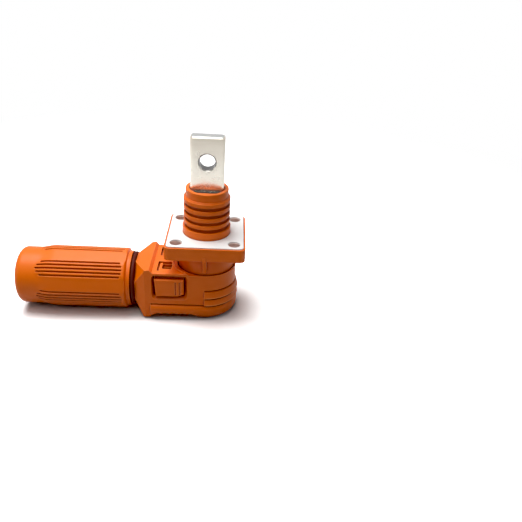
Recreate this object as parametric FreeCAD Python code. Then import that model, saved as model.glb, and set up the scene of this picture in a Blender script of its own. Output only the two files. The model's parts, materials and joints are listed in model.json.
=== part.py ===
"""Right-angle locking power plug, mated with its square-flange panel receptacle.

Millimetres, +Z up along the receptacle's axis, origin on that axis at the flange's panel face.
The blade of the terminal stands up, the cable leaves the plug along -X, the release button faces -Y.
"""
import FreeCAD, Part
import math
import os

V = FreeCAD.Vector
HUGE = 400.0

# Flange of the receptacle
flange_side = 46.0
flange_thick = 8.0
flange_corner = 3.0
rim_width = 1.0
seat_depth = 0.45
bolt_edge = 6.5
bolt_spacing = flange_side - 2 * bolt_edge
bush_bore_r = 3.3
bush_wall = 1.0
gasket_thick = 0.95
gasket_gap = 0.1
gasket_hole_r = 3.5

# Ribbed shank above the flange
base_ring_r = 14.0
base_ring_top = 5.0
ring_r = 13.45
groove_r = 11.9
ring_height = 2.4
ring_pitch = 4.4
ring_count = 4
first_ring_z = 7.1
ring_edge = 0.35
shoulder_r = 12.9
shoulder_height = 0.6
lip_r = 12.25
lip_height = 5.3
lip_recess_r = 10.1
lip_recess_depth = 1.0

# Terminal: round body, blade above it, contact pin below it
body_r = 9.75
body_gap = 0.1
flat_half = 6.45
flat_zone = 6.4
shoulder_drop = 1.3
shoulder_bevel = 0.8
blade_width = 19.0
blade_thick = 7.5
blade_top = 58.0
blade_corner = 1.2
blade_bevel = 0.8
eye_z = 43.7
eye_r = 4.5
eye_bevel = 0.7
pin_r = 6.0
pin_bottom = -24.5
body_bottom = -9.0
seal_groove_z = -4.2
seal_groove_width = 2.4
terminal_seal_r = 0.93

# Shroud under the flange
shroud_r = 16.8
shroud_wall = 3.2
shroud_bore_r = shroud_r - shroud_wall
shroud_bottom = -24.0
latch_groove_top = -21.4
latch_groove_height = 1.8
latch_groove_depth = 1.0
key_width = 2.2
key_proud = 0.35
key_top = -5.9
key_bottom = -18.7
key_foot_out = 1.4
retainer_thick = 2.4
guard_r = 5.6
guard_height = 2.1
guard_stem_r = 1.95
guard_stem = 3.8

# Plug housing
plug_wall = 1.2
plug_half = shroud_r + plug_wall
deck_z = -19.8
plug_bottom = -51.2
cable_z = -34.3
mouth_gap = 0.6
mouth_floor = -24.6
mouth_ring_width = 2.9
mouth_ring_drop = 0.8
crest_z = -17.9
crest_x = -32.4
crest_slope = 1.7
nose_x = -41.7
nose_half_flat = 5.4
nose_apothem = 14.7
shoulder_x = -35.2
foot_x = -36.4
rib_proud = 1.3
rib_root_r = 16.6
rib_crown_r = 18.7
rib_crown_drop = 0.8
rib_lip_r = 19.6
rib_tops = (-30.9, -36.2, -41.2)
rib_lower_edge = 0.9
rib_lower_round = 0.3
band_slope = 2.4
band_start_x = -32.0
bottom_round = 5.5
foot_round = 1.2
deck_round = 0.8

# Deck details
slot_x = -28.2
slot_end_x = -20.0
slot_near_y = 3.6
slot_far_y = 14.6
slot_width = 1.2
slot_depth = 1.8
pad_drop = 0.5
window_x = (-25.6, -19.8)
window_y = (-11.4, -4.8)
window_bottom = -27.0
window_margin = 0.6

# Finger grip under the plug
grip_far_y = 12.0
grip_roof = -46.9
grip_edge = ((-34.0, -51.2), (-32.2, -50.2), (-30.3, -48.5), (-28.8, -47.3), (-27.4, -46.9), (-8.4, -46.9),
             (-6.8, -47.3), (-4.0, -48.9), (-0.6, -51.2))
grip_bump_r = 1.35
grip_bump_x = -25.6
grip_pitch = 5.15
grip_count = 4

# Release button and its latch plate
recess_x = (-31.2, -9.8)
recess_z = (-38.0, -21.2)
recess_corner = 2.5
recess_depth = 2.0
hole_x = (-30.0, -11.6)
hole_bottom = -36.3
hole_corner = 1.2
button_x = (-29.5, -12.0)
button_z = (-35.6, -23.7)
button_back = -13.2
button_proud = 0.6
button_neck = -16.2
button_edge = 1.0
grip_groove_x = (-17.4, -14.9)
grip_groove_width = 0.9
grip_groove_depth = 0.5
plate_thick = 1.5
plate_far_y = 12.9
hook_reach = 0.8
hook_r = shroud_r - hook_reach
hook_start_y = 6.5
press_travel = 2.2
plate_gap = 0.3
plate_clear_r = shroud_r + plate_gap
stop_reach = 0.8
stop_y = -5.0
stop_length = 2.0
spring_x = (-26.0, -15.5)
spring_z = -30.0
spring_pocket_r = 2.7
spring_pocket_end = -16.4
spring_r = 2.05
spring_wire_r = 0.25
spring_turns = 4.0
spring_wall_y = -10.4

# Contacts in the plug
carrier_gap = 0.4
carrier_r = shroud_bore_r - carrier_gap
carrier_top = -12.3
carrier_bottom = -31.5
carrier_lip_r = 7.4
mating_seal_z = -18.5
mating_seal_r = 1.0
socket_r = 10.0
socket_foot_r = 8.5
socket_top = -14.3
socket_step = -28.0
socket_bore_r = 7.0
socket_floor = 2.0
fit_gap = 0.05
crown_bottom = -27.0
crown_top = -15.3
crown_band = 1.3
crown_wall = 0.3
crown_count = 15
screw_r = 4.0
screw_head_r = 5.4
screw_head = 2.8
screw_hex = 2.9
palm_top = -32.3
palm_thick = 5.0
palm_width = 15.4
palm_end_x = 8.4
barrel_r = 8.1
barrel_bore_r = 6.4
barrel_x = (-40.0, -14.0)
barrel_bore_end = -16.0
conduit_r = 8.4

# Cable gland
spigot_seat_r = 13.9
spigot_r = 13.6
spigot_start_x = -44.2
spigot_end_x = -64.0
packing_r = 11.2
packing_start_x = -50.0
o_ring_r = 1.25
grommet_bore_r = 8.4
grommet_lips = 3
cage_ring_x = -67.6
cage_r = 12.4
cage_bore_r = 9.4
cage_end_x = -92.0
cage_slots = 8
cage_slot_width = 1.4
nut_start_x = -44.4
nut_end_x = -111.3
nut_collar_r = 16.8
nut_collar_x = -46.6
nut_r = 18.5
nut_nose_r = 17.0
nut_grip_x = (-48.8, -90.5)
nut_groove_x = (-49.6, -101.6)
nut_flare_x = -100.0
nut_mouth_r = 10.2
nut_mouth_x = -101.0
nut_cone_x = -86.0
nut_cone_r = 13.0
nut_turn = 16.0
nut_end_round = 3.5
nut_bands = 6
band_grooves = 5
groove_step = 6.8
groove_radius = 0.62


def polygon(points):
    """Face of straight edges through the points."""
    wire = Part.makePolygon([V(*p) for p in points] + [V(*points[0])])
    return Part.Face(wire)


def box(x, y, z):
    """Box between two corners given as (low, high) pairs."""
    low = [min(pair) for pair in (x, y, z)]
    size = [abs(pair[1] - pair[0]) for pair in (x, y, z)]
    return Part.makeBox(size[0], size[1], size[2], V(*low))


def upright(radius, z_low, z_high, x=0.0, y=0.0):
    """Cylinder along Z."""
    return Part.makeCylinder(radius, z_high - z_low, V(x, y, z_low), V(0, 0, 1))


def lengthwise(radius, x_low, x_high, y=0.0, z=cable_z):
    """Cylinder along X."""
    return Part.makeCylinder(radius, x_high - x_low, V(x_low, y, z), V(1, 0, 0))


def crosswise(radius, y_low, y_high, x=0.0, z=0.0):
    """Cylinder along Y."""
    return Part.makeCylinder(radius, y_high - y_low, V(x, y_low, z), V(0, 1, 0))


def turned(profile, angle=360.0, start=0.0):
    """Solid turned about Z from (radius, height) points; start turns the profile first."""
    face = polygon([(r, 0.0, z) for r, z in profile])
    face.rotate(V(0, 0, 0), V(0, 0, 1), start)
    return face.revolve(V(0, 0, 0), V(0, 0, 1), angle)


def turned_about_cable(profile, angle=360.0):
    """Solid turned about the cable axis from (x, radius) points."""
    face = polygon([(x, 0.0, cable_z + r) for x, r in profile])
    return face.revolve(V(0, 0, cable_z), V(1, 0, 0), angle)


def rounded_plate(x, y, z, corner):
    """Plate with rounded upright edges."""
    solid = box(x, y, z)
    return solid.makeFillet(corner, upright_edges(solid))


def upright_edges(solid):
    """Straight edges along Z."""
    return [e for e in solid.Edges if along(e, V(0, 0, 1))]


def along(edge, direction):
    """True for a straight edge along the direction."""
    if not isinstance(edge.Curve, Part.Line):
        return False
    return abs(abs(edge.tangentAt(edge.FirstParameter).dot(direction)) - 1.0) < 1e-6


def keep_below(solid, point, normal):
    """Cuts away what lies beyond the plane through the point."""
    cutter = Part.makeBox(HUGE, HUGE, HUGE, V(-HUGE / 2, -HUGE / 2, 0))
    turn = FreeCAD.Rotation(V(0, 0, 1), normal)
    cutter.Placement = FreeCAD.Placement(point, turn)
    cutter = Part.makeBox(HUGE, HUGE, HUGE, V(0, 0, 0))
    cutter.translate(V(-HUGE / 2, -HUGE / 2, 0))
    cutter.Placement = FreeCAD.Placement(point, turn).multiply(cutter.Placement)
    return solid.cut(cutter)


def ring(centre_r, wire_r, centre, axis):
    """O-ring."""
    return Part.makeTorus(centre_r, wire_r, centre, axis)


# Places that follow from the sizes above
bolt_places = [(i * bolt_spacing / 2, j * bolt_spacing / 2) for i in (-1, 1) for j in (-1, 1)]
bush_r = bush_bore_r + bush_wall
pocket_half = flange_side / 2 - rim_width
shank_top = first_ring_z + (ring_count - 1) * ring_pitch + ring_height
lip_top = shank_top + lip_height
lip_floor = lip_top - lip_recess_depth
bore_r = body_r + body_gap
seat_top = lip_top - shoulder_drop
latch_groove_bottom = latch_groove_top - latch_groove_height
mouth_r = shroud_r + mouth_gap
mouth_ring_r = mouth_r + mouth_ring_width
rib_r = plug_half + rib_proud
plate_top = latch_groove_top - (latch_groove_height - plate_thick) / 2
plate_bottom = plate_top - plate_thick


def receptacle_housing():
    """Flange, shank with rings and open lip, shroud with latch groove, key ribs: one moulding."""
    half = flange_side / 2
    flange = rounded_plate((-half, half), (-half, half), (-flange_thick, 0), flange_corner)
    pocket = rounded_plate(
        (-pocket_half, pocket_half), (-pocket_half, pocket_half), (-seat_depth, 1), flange_corner - rim_width / 2
    )
    flange = flange.cut(pocket)
    profile = [(0, -seat_depth), (base_ring_r, -seat_depth), (base_ring_r, base_ring_top - ring_edge)]
    profile += [(base_ring_r - ring_edge, base_ring_top), (groove_r, base_ring_top)]
    for index in range(ring_count):
        low = first_ring_z + index * ring_pitch
        high = low + ring_height
        profile += [(groove_r, low), (ring_r - ring_edge, low), (ring_r, low + ring_edge)]
        profile += [(ring_r, high - ring_edge), (ring_r - ring_edge, high), (groove_r, high)]
    profile = profile[:-1]
    step = shank_top + shoulder_height
    profile += [(shoulder_r, shank_top), (shoulder_r, step), (lip_r, step)]
    profile += [(lip_r, lip_top - ring_edge), (lip_r - ring_edge, lip_top), (0, lip_top)]
    shank = turned(profile)
    lower = latch_groove_bottom
    inner = shroud_r - latch_groove_depth
    skirt = [(0, -flange_thick + 0.5), (shroud_r, -flange_thick + 0.5), (shroud_r, latch_groove_top)]
    skirt += [(inner, latch_groove_top), (inner, lower), (shroud_r, lower)]
    skirt += [(shroud_r, shroud_bottom + ring_edge), (shroud_r - ring_edge, shroud_bottom), (0, shroud_bottom)]
    shroud = turned(skirt)
    body = flange.fuse([shank, shroud] + [key_rib(side) for side in (-1, 1)])
    bore = upright(bore_r, body_bottom - 1, seat_top - flat_zone)
    slot = upright(bore_r, body_bottom, lip_top + 1)
    slot = slot.common(box((-bore_r, bore_r), (-flat_half - body_gap, flat_half + body_gap), (0, lip_top + 1)))
    recess = upright(lip_recess_r, lip_floor, lip_top + 1)
    cavity = upright(shroud_bore_r, shroud_bottom - 1, body_bottom)
    holes = [upright(bush_r, -flange_thick - 1, 1, x, y) for x, y in bolt_places]
    return body.cut([bore, slot, recess, cavity] + holes).removeSplitter()


def key_rib(side):
    """Narrow web from the flange's edge down the shroud."""
    half = flange_side / 2
    outer = side * (half + key_proud)
    inner = side * (shroud_r - 1)
    foot = side * (shroud_r + key_foot_out)
    points = [(inner, key_top), (outer, key_top), (outer, -flange_thick - 0.6)]
    points += [(foot, key_bottom), (inner, key_bottom)]
    face = polygon([(-key_width / 2, y, z) for y, z in points])
    web = face.extrude(V(key_width, 0, 0))
    crown = [e for e in web.Edges if along(e, V(0, 1, 0)) and abs(e.CenterOfMass.z - key_top) < 1e-6]
    return web.makeFillet(key_width / 2 - 0.1, crown)


def flange_gasket():
    """Flat sealing sheet in the flange's pocket."""
    half = pocket_half - gasket_gap
    high = gasket_thick - seat_depth
    sheet = rounded_plate((-half, half), (-half, half), (-seat_depth, high), flange_corner - rim_width / 2)
    holes = [upright(gasket_hole_r, -1, 2, x, y) for x, y in bolt_places]
    return sheet.cut([upright(base_ring_r + gasket_gap, -1, 2)] + holes)


def flange_bush(x, y):
    """Compression bush in a flange hole."""
    sleeve = upright(bush_r, -flange_thick, -seat_depth, x, y)
    return sleeve.cut(upright(bush_bore_r, -flange_thick - 1, 1, x, y))


def terminal():
    """Blade, round body and contact pin, machined from one bar."""
    shaft = upright(body_r, body_bottom, seat_top - flat_zone)
    edge = [(body_r, seat_top - shoulder_bevel), (body_r - shoulder_bevel, seat_top)]
    upper = turned([(0, body_bottom), (body_r, body_bottom)] + edge + [(0, seat_top)])
    upper = upper.common(box((-body_r, body_r), (-flat_half, flat_half), (0, seat_top)))
    half_x = blade_width / 2
    half_y = blade_thick / 2
    blade = box((-half_x, half_x), (-half_y, half_y), (seat_top - 1, blade_top))
    blade = blade.makeChamfer(blade_corner, upright_edges(blade))
    rim = [e for e in blade.Edges if abs(e.CenterOfMass.z - blade_top) < 1e-6]
    blade = blade.makeChamfer(blade_bevel, rim)
    pin = upright(pin_r, pin_bottom, body_bottom)
    whole = shaft.fuse([upper, blade, pin])
    eye = crosswise(eye_r, -half_y - 1, half_y + 1, 0.0, eye_z)
    cones = []
    for side in (-1, 1):
        mouth = Part.makeCone(
            eye_r + eye_bevel, eye_r, eye_bevel, V(0, side * half_y, eye_z), V(0, -side, 0)
        )
        cones.append(mouth)
    groove = upright(body_r + 1, seal_groove_z, seal_groove_z + seal_groove_width)
    groove = groove.cut(upright(body_r - 2 * terminal_seal_r + 0.02, seal_groove_z - 1, 0))
    socket = upright(guard_stem_r + fit_gap, pin_bottom - 1, pin_bottom + guard_stem + 0.2)
    return whole.cut([eye, groove, socket] + cones).removeSplitter()


def terminal_seal():
    """O-ring between the terminal's body and the receptacle."""
    centre_r = body_r + body_gap - terminal_seal_r - 0.04
    return ring(centre_r, terminal_seal_r, V(0, 0, seal_groove_z + seal_groove_width / 2), V(0, 0, 1))


def terminal_retainer():
    """Ring that keeps the terminal's body up against the flange."""
    low = body_bottom - retainer_thick
    outer = shroud_bore_r - fit_gap
    inner = pin_r + 0.3
    profile = [(inner, body_bottom), (outer, body_bottom), (outer, low + 0.5), (outer - 0.5, low), (inner, low)]
    washer = turned(profile)
    notches = [box((outer - 1.4, outer + 1), (-1.5, 1.5), (low - 1, body_bottom + 1)) for _ in range(3)]
    for index, notch in enumerate(notches):
        notch.rotate(V(0, 0, 0), V(0, 0, 1), 120 * index)
    return washer.cut(notches)


def pin_guard():
    """Insulating tip that keeps fingers off the live pin."""
    low = pin_bottom - guard_height
    dome = [(0, pin_bottom), (guard_r, pin_bottom), (guard_r, low + 1.1), (guard_r - 1.0, low + 0.2), (0, low)]
    return turned(dome).fuse(upright(guard_stem_r, pin_bottom - 0.5, pin_bottom + guard_stem)).removeSplitter()


def arc_through(first, middle, last):
    """Circular edge through three points."""
    return Part.Arc(V(*first), V(*middle), V(*last)).toShape()


def deck_edge(half):
    """Points of the deck's rounded outer edge, from the middle outwards."""
    points = [(0.0, deck_z)]
    for step in range(4):
        angle = math.radians(30.0 * step)
        across = half - deck_round * (1 - math.sin(angle))
        points.append((across, deck_z - deck_round * (1 - math.cos(angle))))
    return points


def plug_section(half, rounding, with_band):
    """Right half of the plug's cross-section as (across, height) points; the band is a raised strip."""
    edge = half + (rib_proud if with_band else 0.0)
    points = deck_edge(half)
    if with_band:
        points += rib_top(rib_tops[2], half)
        points += [(edge, rib_tops[2] - band_slope)]
    return points + bottom_edge(edge, rounding)


def rib_top(height, edge):
    """Points of the notch over a rib and the rib's quick swell under it."""
    return [(edge, height + rib_lower_round), (rib_root_r, height), (rib_crown_r, height - rib_crown_drop)]


def bottom_edge(edge, rounding):
    """Points of the rounded lower edge, from the wall to the middle of the bottom."""
    points = []
    for step in range(6):
        angle = math.radians(18.0 * step)
        across = edge - rounding * (1 - math.cos(angle))
        points.append((across, plug_bottom + rounding * (1 - math.sin(angle))))
    return points + [(0.0, plug_bottom)]


def ribbed_end_profile():
    """Half section of the round end: three lapped ribs, each slanting out to its lower edge."""
    points = deck_edge(plug_half)
    points += rib_top(rib_tops[0], plug_half)
    for low in rib_tops[1:]:
        points += [(rib_lip_r, low + rib_lower_edge)]
        points += rib_top(low, rib_lip_r - rib_lower_round)
    points += [(rib_r, rib_tops[2] - band_slope)]
    return points + bottom_edge(rib_r, bottom_round)


def prism_along_x(half_points, x_low, x_high):
    """Solid of a mirrored half section, extruded along X."""
    across = [(x_low, y, z) for y, z in half_points]
    mirrored = [(x_low, -y, z) for y, z in reversed(half_points[1:-1])]
    return polygon(across + mirrored).extrude(V(x_high - x_low, 0, 0))


def plug_shell():
    """Outer form: straight body, ribbed round end and the faceted nose that leads to the gland."""
    straight = prism_along_x(plug_section(plug_half, bottom_round, True), band_start_x, 0.0)
    plain = prism_along_x(plug_section(plug_half, foot_round, False), nose_x, band_start_x)
    top = box((nose_x, crest_x + crest_slope), (-plug_half, plug_half), (deck_z - 5, crest_z))
    slope_foot = V(crest_x, 0, crest_z)
    drop = crest_z - deck_z
    top = keep_below(top, slope_foot, V(drop, 0, crest_slope))
    nose = plain.fuse(top)
    for point, normal in nose_planes():
        nose = keep_below(nose, point, normal)
    end = turned(ribbed_end_profile(), 180.0, -90.0)
    return straight.fuse([end, nose])


def nose_planes():
    """Planes of the octagonal nose: top and bottom, two sides and four corners."""
    top = cable_z + nose_apothem
    low = cable_z - nose_apothem
    rise = (crest_z - top) / (crest_x - nose_x)
    fall = (plug_bottom - low) / (foot_x - nose_x)
    spread = (plug_half - nose_apothem) / (shoulder_x - nose_x)
    planes = [(V(nose_x, 0, top), V(-rise, 0, 1)), (V(nose_x, 0, low), V(fall, 0, -1))]
    for side in (-1, 1):
        planes.append((V(nose_x, side * nose_apothem, cable_z), V(-spread, side, 0)))
        for sign, far in ((1, top + rise * (shoulder_x - nose_x)), (-1, plug_bottom)):
            first = V(nose_x, side * nose_half_flat, cable_z + sign * nose_apothem)
            second = V(nose_x, side * nose_apothem, cable_z + sign * nose_half_flat)
            third = V(shoulder_x if sign > 0 else foot_x, side * (plug_half - 0.8), far)
            normal = (second - first).cross(third - first)
            if normal.y * side < 0:
                normal = normal * -1
            planes.append((first, normal))
    return planes


def plug_housing():
    """Right-angle moulding: deck, nose, button recess, latch chamber, contact cavity and gland spigot."""
    shell = plug_shell()
    gland = [lengthwise(spigot_seat_r, spigot_start_x, nose_x + 1)]
    gland.append(lengthwise(spigot_r, spigot_end_x, spigot_start_x))
    body = shell.fuse(gland)
    body = body.cut(deck_cuts() + button_cuts() + contact_cuts() + [grip_cut()])
    body = body.fuse(grip_bumps())
    return body.removeSplitter()


def deck_cuts():
    """Mouth, ring round it, the two angled slots, their pads and the window over the latch."""
    cuts = [upright(mouth_r, mouth_floor, deck_z + 1)]
    cuts.append(upright(mouth_ring_r, deck_z - mouth_ring_drop, deck_z + 1))
    for side in (-1, 1):
        near = side * slot_near_y
        far = side * slot_far_y
        inner = side * (slot_near_y + slot_width)
        cuts.append(box((slot_x, slot_x + slot_width), (near, far), (deck_z - slot_depth, deck_z + 1)))
        cuts.append(box((slot_x, slot_end_x), (near, inner), (deck_z - slot_depth, deck_z + 1)))
        cuts.append(box((slot_x, slot_end_x), (near, far), (deck_z - pad_drop, deck_z + 1)))
    cuts.append(box(window_x, window_y, (window_bottom, deck_z + 1)))
    return cuts


def button_cuts():
    """Funnel-shaped recess in the side, the button's hole and the chamber of the latch plate."""
    wide = rounded_outline(recess_x, recess_z, recess_corner, -plug_half - 0.01)
    high = (hole_bottom, latch_groove_top)
    narrow = rounded_outline(hole_x, high, hole_corner, -plug_half + recess_depth)
    funnel = Part.makeLoft([wide, narrow], True)
    mouth = Part.Face(wide).extrude(V(0, -rib_proud - 2, 0))
    hole = Part.Face(rounded_outline(hole_x, high, hole_corner, -plug_half)).extrude(
        V(0, button_back - 0.3 + plug_half + press_travel + 0.3, 0)
    )
    chamber = box(
        hole_x, (-plug_half + 1, plate_far_y + press_travel + 0.3), (latch_groove_bottom, latch_groove_top)
    )
    catch = box(
        (hole_x[0] - stop_reach, hole_x[0] + 1), (stop_y - fit_gap, stop_y + stop_length + press_travel + 0.2),
        (latch_groove_bottom, latch_groove_top)
    )
    wells = [crosswise(spring_pocket_r, button_back, spring_wall_y, x, spring_z) for x in spring_x]
    return [funnel, mouth, hole, chamber, catch] + wells


def rounded_outline(x, z, corner, y):
    """Closed outline in an XZ plane: a rectangle with rounded corners."""
    low_x, high_x = x
    low_z, high_z = z
    bend = corner * (1 - math.sqrt(0.5))
    edges = []
    corners = [(low_x, low_z, 1, 1), (high_x, low_z, -1, 1), (high_x, high_z, -1, -1), (low_x, high_z, 1, -1)]
    ends = []
    for index, (cx, cz, dx, dz) in enumerate(corners):
        on_x = (cx + dx * corner, y, cz)
        on_z = (cx, y, cz + dz * corner)
        middle = (cx + dx * bend, y, cz + dz * bend)
        pair = (on_z, on_x) if index % 2 == 0 else (on_x, on_z)
        ends.append((pair[0], middle, pair[1]))
    for index, (first, middle, last) in enumerate(ends):
        edges.append(arc_through(first, middle, last))
        following = ends[(index + 1) % 4][0]
        edges.append(Part.makeLine(V(*last), V(*following)))
    return Part.Wire(edges)


def contact_cuts():
    """Cavities for the carrier, the socket's foot, the crimp terminal and the cable packing."""
    cuts = [upright(carrier_r + fit_gap, carrier_bottom, mouth_floor + 1)]
    cuts.append(upright(socket_foot_r + 0.1, palm_top - 0.2, carrier_bottom + 1))
    cuts.append(lengthwise(conduit_r, spigot_end_x - 1, barrel_x[1] + 0.3))
    half = palm_width / 2 + 0.2
    low = palm_top - palm_thick - 0.2
    cuts.append(box((barrel_x[1], palm_end_x + 0.3), (-half, half), (low, palm_top + 0.2)))
    cuts.append(lengthwise(packing_r, spigot_end_x - 1, packing_start_x))
    return cuts


def grip_cut():
    """Finger recess across the bottom with a sloped start and end, open towards the button side."""
    below = [(grip_edge[-1][0], plug_bottom - 1), (grip_edge[0][0], plug_bottom - 1)]
    face = polygon([(x, -rib_r - 1, z) for x, z in list(grip_edge) + below])
    return face.extrude(V(0, grip_far_y + rib_r + 1, 0))


def grip_bumps():
    """Rounded bars across the finger recess."""
    bars = []
    for index in range(grip_count):
        x = grip_bump_x + grip_pitch * index
        bars.append(crosswise(grip_bump_r, -rib_r + 0.9, grip_far_y + 0.5, x, grip_roof + 0.3))
    return bars


def release_button():
    """Button face, its neck and the latch plate that hooks into the shroud's groove: one moulding."""
    corners = [(button_x[0], button_z[1]), (button_x[1], button_z[1]), (button_x[1], button_z[0] + 1.8)]
    corners += [(button_x[1] - 4.0, button_z[0] + 0.2), (button_x[0] + 0.8, button_z[0])]
    front = -plug_half - button_proud
    face = polygon([(x, front, z) for x, z in corners])
    pad = face.extrude(V(0, button_back - front, 0))
    rim = [e for e in pad.Edges if abs(e.CenterOfMass.y - front) < 1e-6]
    pad = pad.makeFillet(button_edge, rim)
    neck = box(button_x, (button_neck, button_back), (button_z[1] - 1, plate_top))
    plate = box((button_x[0], hole_x[1] - 0.2), (button_neck, plate_far_y), (plate_bottom, plate_top))
    tooth = polygon([
        (button_x[0] + 0.5, stop_y, plate_bottom), (hole_x[0] - stop_reach + 0.1, stop_y, plate_bottom),
        (button_x[0], stop_y + stop_length, plate_bottom), (button_x[0] + 0.5, stop_y + stop_length, plate_bottom)
    ]).extrude(V(0, 0, plate_thick))
    body = pad.fuse([neck, plate, tooth])
    sight_x = (window_x[0] - window_margin, window_x[1] + window_margin)
    sight_y = (window_y[0] - window_margin - press_travel, window_y[1] + window_margin)
    cuts = latch_clearance() + [box(sight_x, sight_y, (plate_bottom - 1, plate_top + 1))]
    for x in grip_groove_x:
        strip = box((x, x + grip_groove_width), (front - 1, front + grip_groove_depth),
                    (button_z[0] + 1.6, button_z[1] - 1.6))
        cuts.append(strip)
    for x in spring_x:
        cuts.append(crosswise(spring_pocket_r, spring_pocket_end, button_back + 1, x, spring_z))
    return body.cut(cuts).removeSplitter()


def latch_clearance():
    """Room for the shroud at rest and when pressed, and the hook's inner arc on the far side."""
    low = shroud_bottom - 0.3
    high = plate_top + 1
    swept = [upright(plate_clear_r, low, high, 0.0, -shift) for shift in (0.0, press_travel)]
    near = swept[0].fuse(swept[1]).common(box((-HUGE, HUGE), (-HUGE, hook_start_y), (low, high)))
    return [near, upright(hook_r, low, high)]


def button_spring(x):
    """Small compression spring between the button and the inner wall."""
    start = spring_pocket_end + spring_wire_r + 0.05
    length = spring_wall_y - spring_wire_r - 0.05 - start
    coil = Part.makeHelix(length / spring_turns, length, spring_r)
    section = Part.Wire(Part.makeCircle(spring_wire_r, V(spring_r, 0, 0), V(0, 1, 0)))
    wire = Part.Wire(coil).makePipeShell([section], True, True)
    wire.rotate(V(0, 0, 0), V(1, 0, 0), -90)
    wire.translate(V(x, start, spring_z))
    return wire


def contact_carrier():
    """Insulating tower that holds the socket and carries the mating seal."""
    floor_r = carrier_r - 2 * mating_seal_r + 0.35
    low = mating_seal_z - mating_seal_r - 0.2
    high = mating_seal_z + mating_seal_r + 0.2
    outer = [(carrier_r, carrier_bottom), (carrier_r, low), (floor_r, low), (floor_r, high), (carrier_r, high)]
    outer += [(carrier_r, carrier_top - 0.8), (carrier_r - 0.8, carrier_top), (carrier_lip_r, carrier_top)]
    inner = [(carrier_lip_r, socket_top + 0.2), (socket_r + fit_gap, socket_top + 0.2)]
    inner += [(socket_r + fit_gap, socket_step), (socket_foot_r + fit_gap, socket_step)]
    inner += [(socket_foot_r + fit_gap, carrier_bottom)]
    return turned(outer + inner)


def mating_seal():
    """O-ring on the tower that seals against the shroud's bore."""
    centre_r = shroud_bore_r - mating_seal_r - 0.03
    return ring(centre_r, mating_seal_r, V(0, 0, mating_seal_z), V(0, 0, 1))


def socket_contact():
    """Turned socket that takes the pin, clamped on the crimp terminal's palm."""
    floor = palm_top + socket_floor
    outer = [(socket_foot_r, palm_top), (socket_foot_r, socket_step), (socket_r, socket_step)]
    outer += [(socket_r, socket_top - 0.6), (socket_r - 0.6, socket_top), (socket_bore_r + 0.5, socket_top)]
    inner = [(socket_bore_r, socket_top - 0.5), (socket_bore_r, floor), (screw_r + 0.1, floor)]
    inner += [(screw_r + 0.1, palm_top)]
    return turned(outer + inner)


def crown_spring():
    """Louvred contact cage: two bands joined by strips that bow in towards the pin."""
    outer = socket_bore_r - fit_gap
    bands = []
    for low in (crown_bottom, crown_top - crown_band):
        band = upright(outer, low, low + crown_band)
        bands.append(band.cut(upright(outer - crown_wall, low - 1, low + crown_band + 1)))
    waist = pin_r + fit_gap + 0.02
    span = 360.0 / crown_count
    low = crown_bottom + crown_band - 0.3
    high = crown_top - crown_band + 0.3
    profile = []
    steps = 6
    for index in range(steps + 1):
        share = index / steps
        bow = math.sin(math.pi * share) * (outer - crown_wall - waist)
        profile.append((outer - bow, low + (high - low) * share))
    profile += [(r - crown_wall, z) for r, z in reversed(profile)]
    strips = [turned(profile, span * 0.55, span * index) for index in range(crown_count)]
    return bands[0].fuse([bands[1]] + strips).removeSplitter()


def contact_screw():
    """Cap screw that clamps the socket to the palm."""
    seat = palm_top + socket_floor
    head = upright(screw_head_r, seat, seat + screw_head)
    shank = upright(screw_r, palm_top - palm_thick + 0.3, seat)
    corners = []
    for index in range(6):
        angle = math.radians(60 * index)
        corners.append((screw_hex * math.cos(angle), screw_hex * math.sin(angle), seat + 0.9))
    hexagon = polygon(corners).extrude(V(0, 0, screw_head))
    return head.fuse(shank).cut(hexagon)


def crimp_terminal():
    """Crimp barrel for the conductor with a flat palm under the socket, one forging."""
    barrel = lengthwise(barrel_r, barrel_x[0], barrel_x[1])
    palm = box((barrel_x[1] - 1, palm_end_x), (-palm_width / 2, palm_width / 2), (palm_top - palm_thick, palm_top))
    tips = [e for e in upright_edges(palm) if e.CenterOfMass.x > 0]
    palm = palm.makeFillet(palm_width / 2 - 2.0, tips)
    whole = barrel.fuse(palm)
    bore = lengthwise(barrel_bore_r, barrel_x[0] - 1, barrel_bore_end)
    thread = upright(screw_r + 0.02, palm_top - palm_thick - 1, palm_top + 1)
    return whole.cut([bore, thread]).removeSplitter()


def gland_o_ring():
    """Seal between the nut's collar and the nose."""
    centre_x = (nose_x + nut_start_x) / 2
    return ring(spigot_seat_r + o_ring_r + 0.05, o_ring_r, V(centre_x, 0, cable_z), V(1, 0, 0))


def cable_grommet():
    """Rubber packing round the cable, with sealing lips inside."""
    low = spigot_end_x - 0.4
    high = packing_start_x - 0.1
    outer = packing_r - 0.1
    profile = [(low, outer), (high, outer), (high, grommet_bore_r + 0.6)]
    pitch = (high - low) / grommet_lips
    for index in range(grommet_lips):
        right = high - index * pitch
        profile += [(right - pitch * 0.35, grommet_bore_r), (right - pitch * 0.65, grommet_bore_r)]
        profile += [(right - pitch, grommet_bore_r + 0.6)]
    return turned_about_cable(profile)


def clamp_cage():
    """Slotted claw that the nut's cone squeezes on to the cable."""
    top = spigot_end_x - 0.5
    outer = [(top, spigot_r - 0.8), (cage_ring_x, spigot_r - 0.8), (cage_ring_x, cage_r)]
    outer += [(nut_cone_x, cage_r), (cage_end_x, cage_bore_r + 1.2), (cage_end_x, cage_bore_r)]
    profile = outer + [(top, cage_bore_r)]
    sleeve = turned_about_cable(profile)
    slots = []
    for index in range(cage_slots):
        slot = box((cage_end_x - 1, cage_ring_x - 3), (-cage_slot_width / 2, cage_slot_width / 2),
                   (cable_z + cage_bore_r - 2, cable_z + cage_r + 2))
        slot.rotate(V(0, 0, cable_z), V(1, 0, 0), 360.0 * index / cage_slots)
        slots.append(slot)
    return sleeve.cut(slots)


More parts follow.
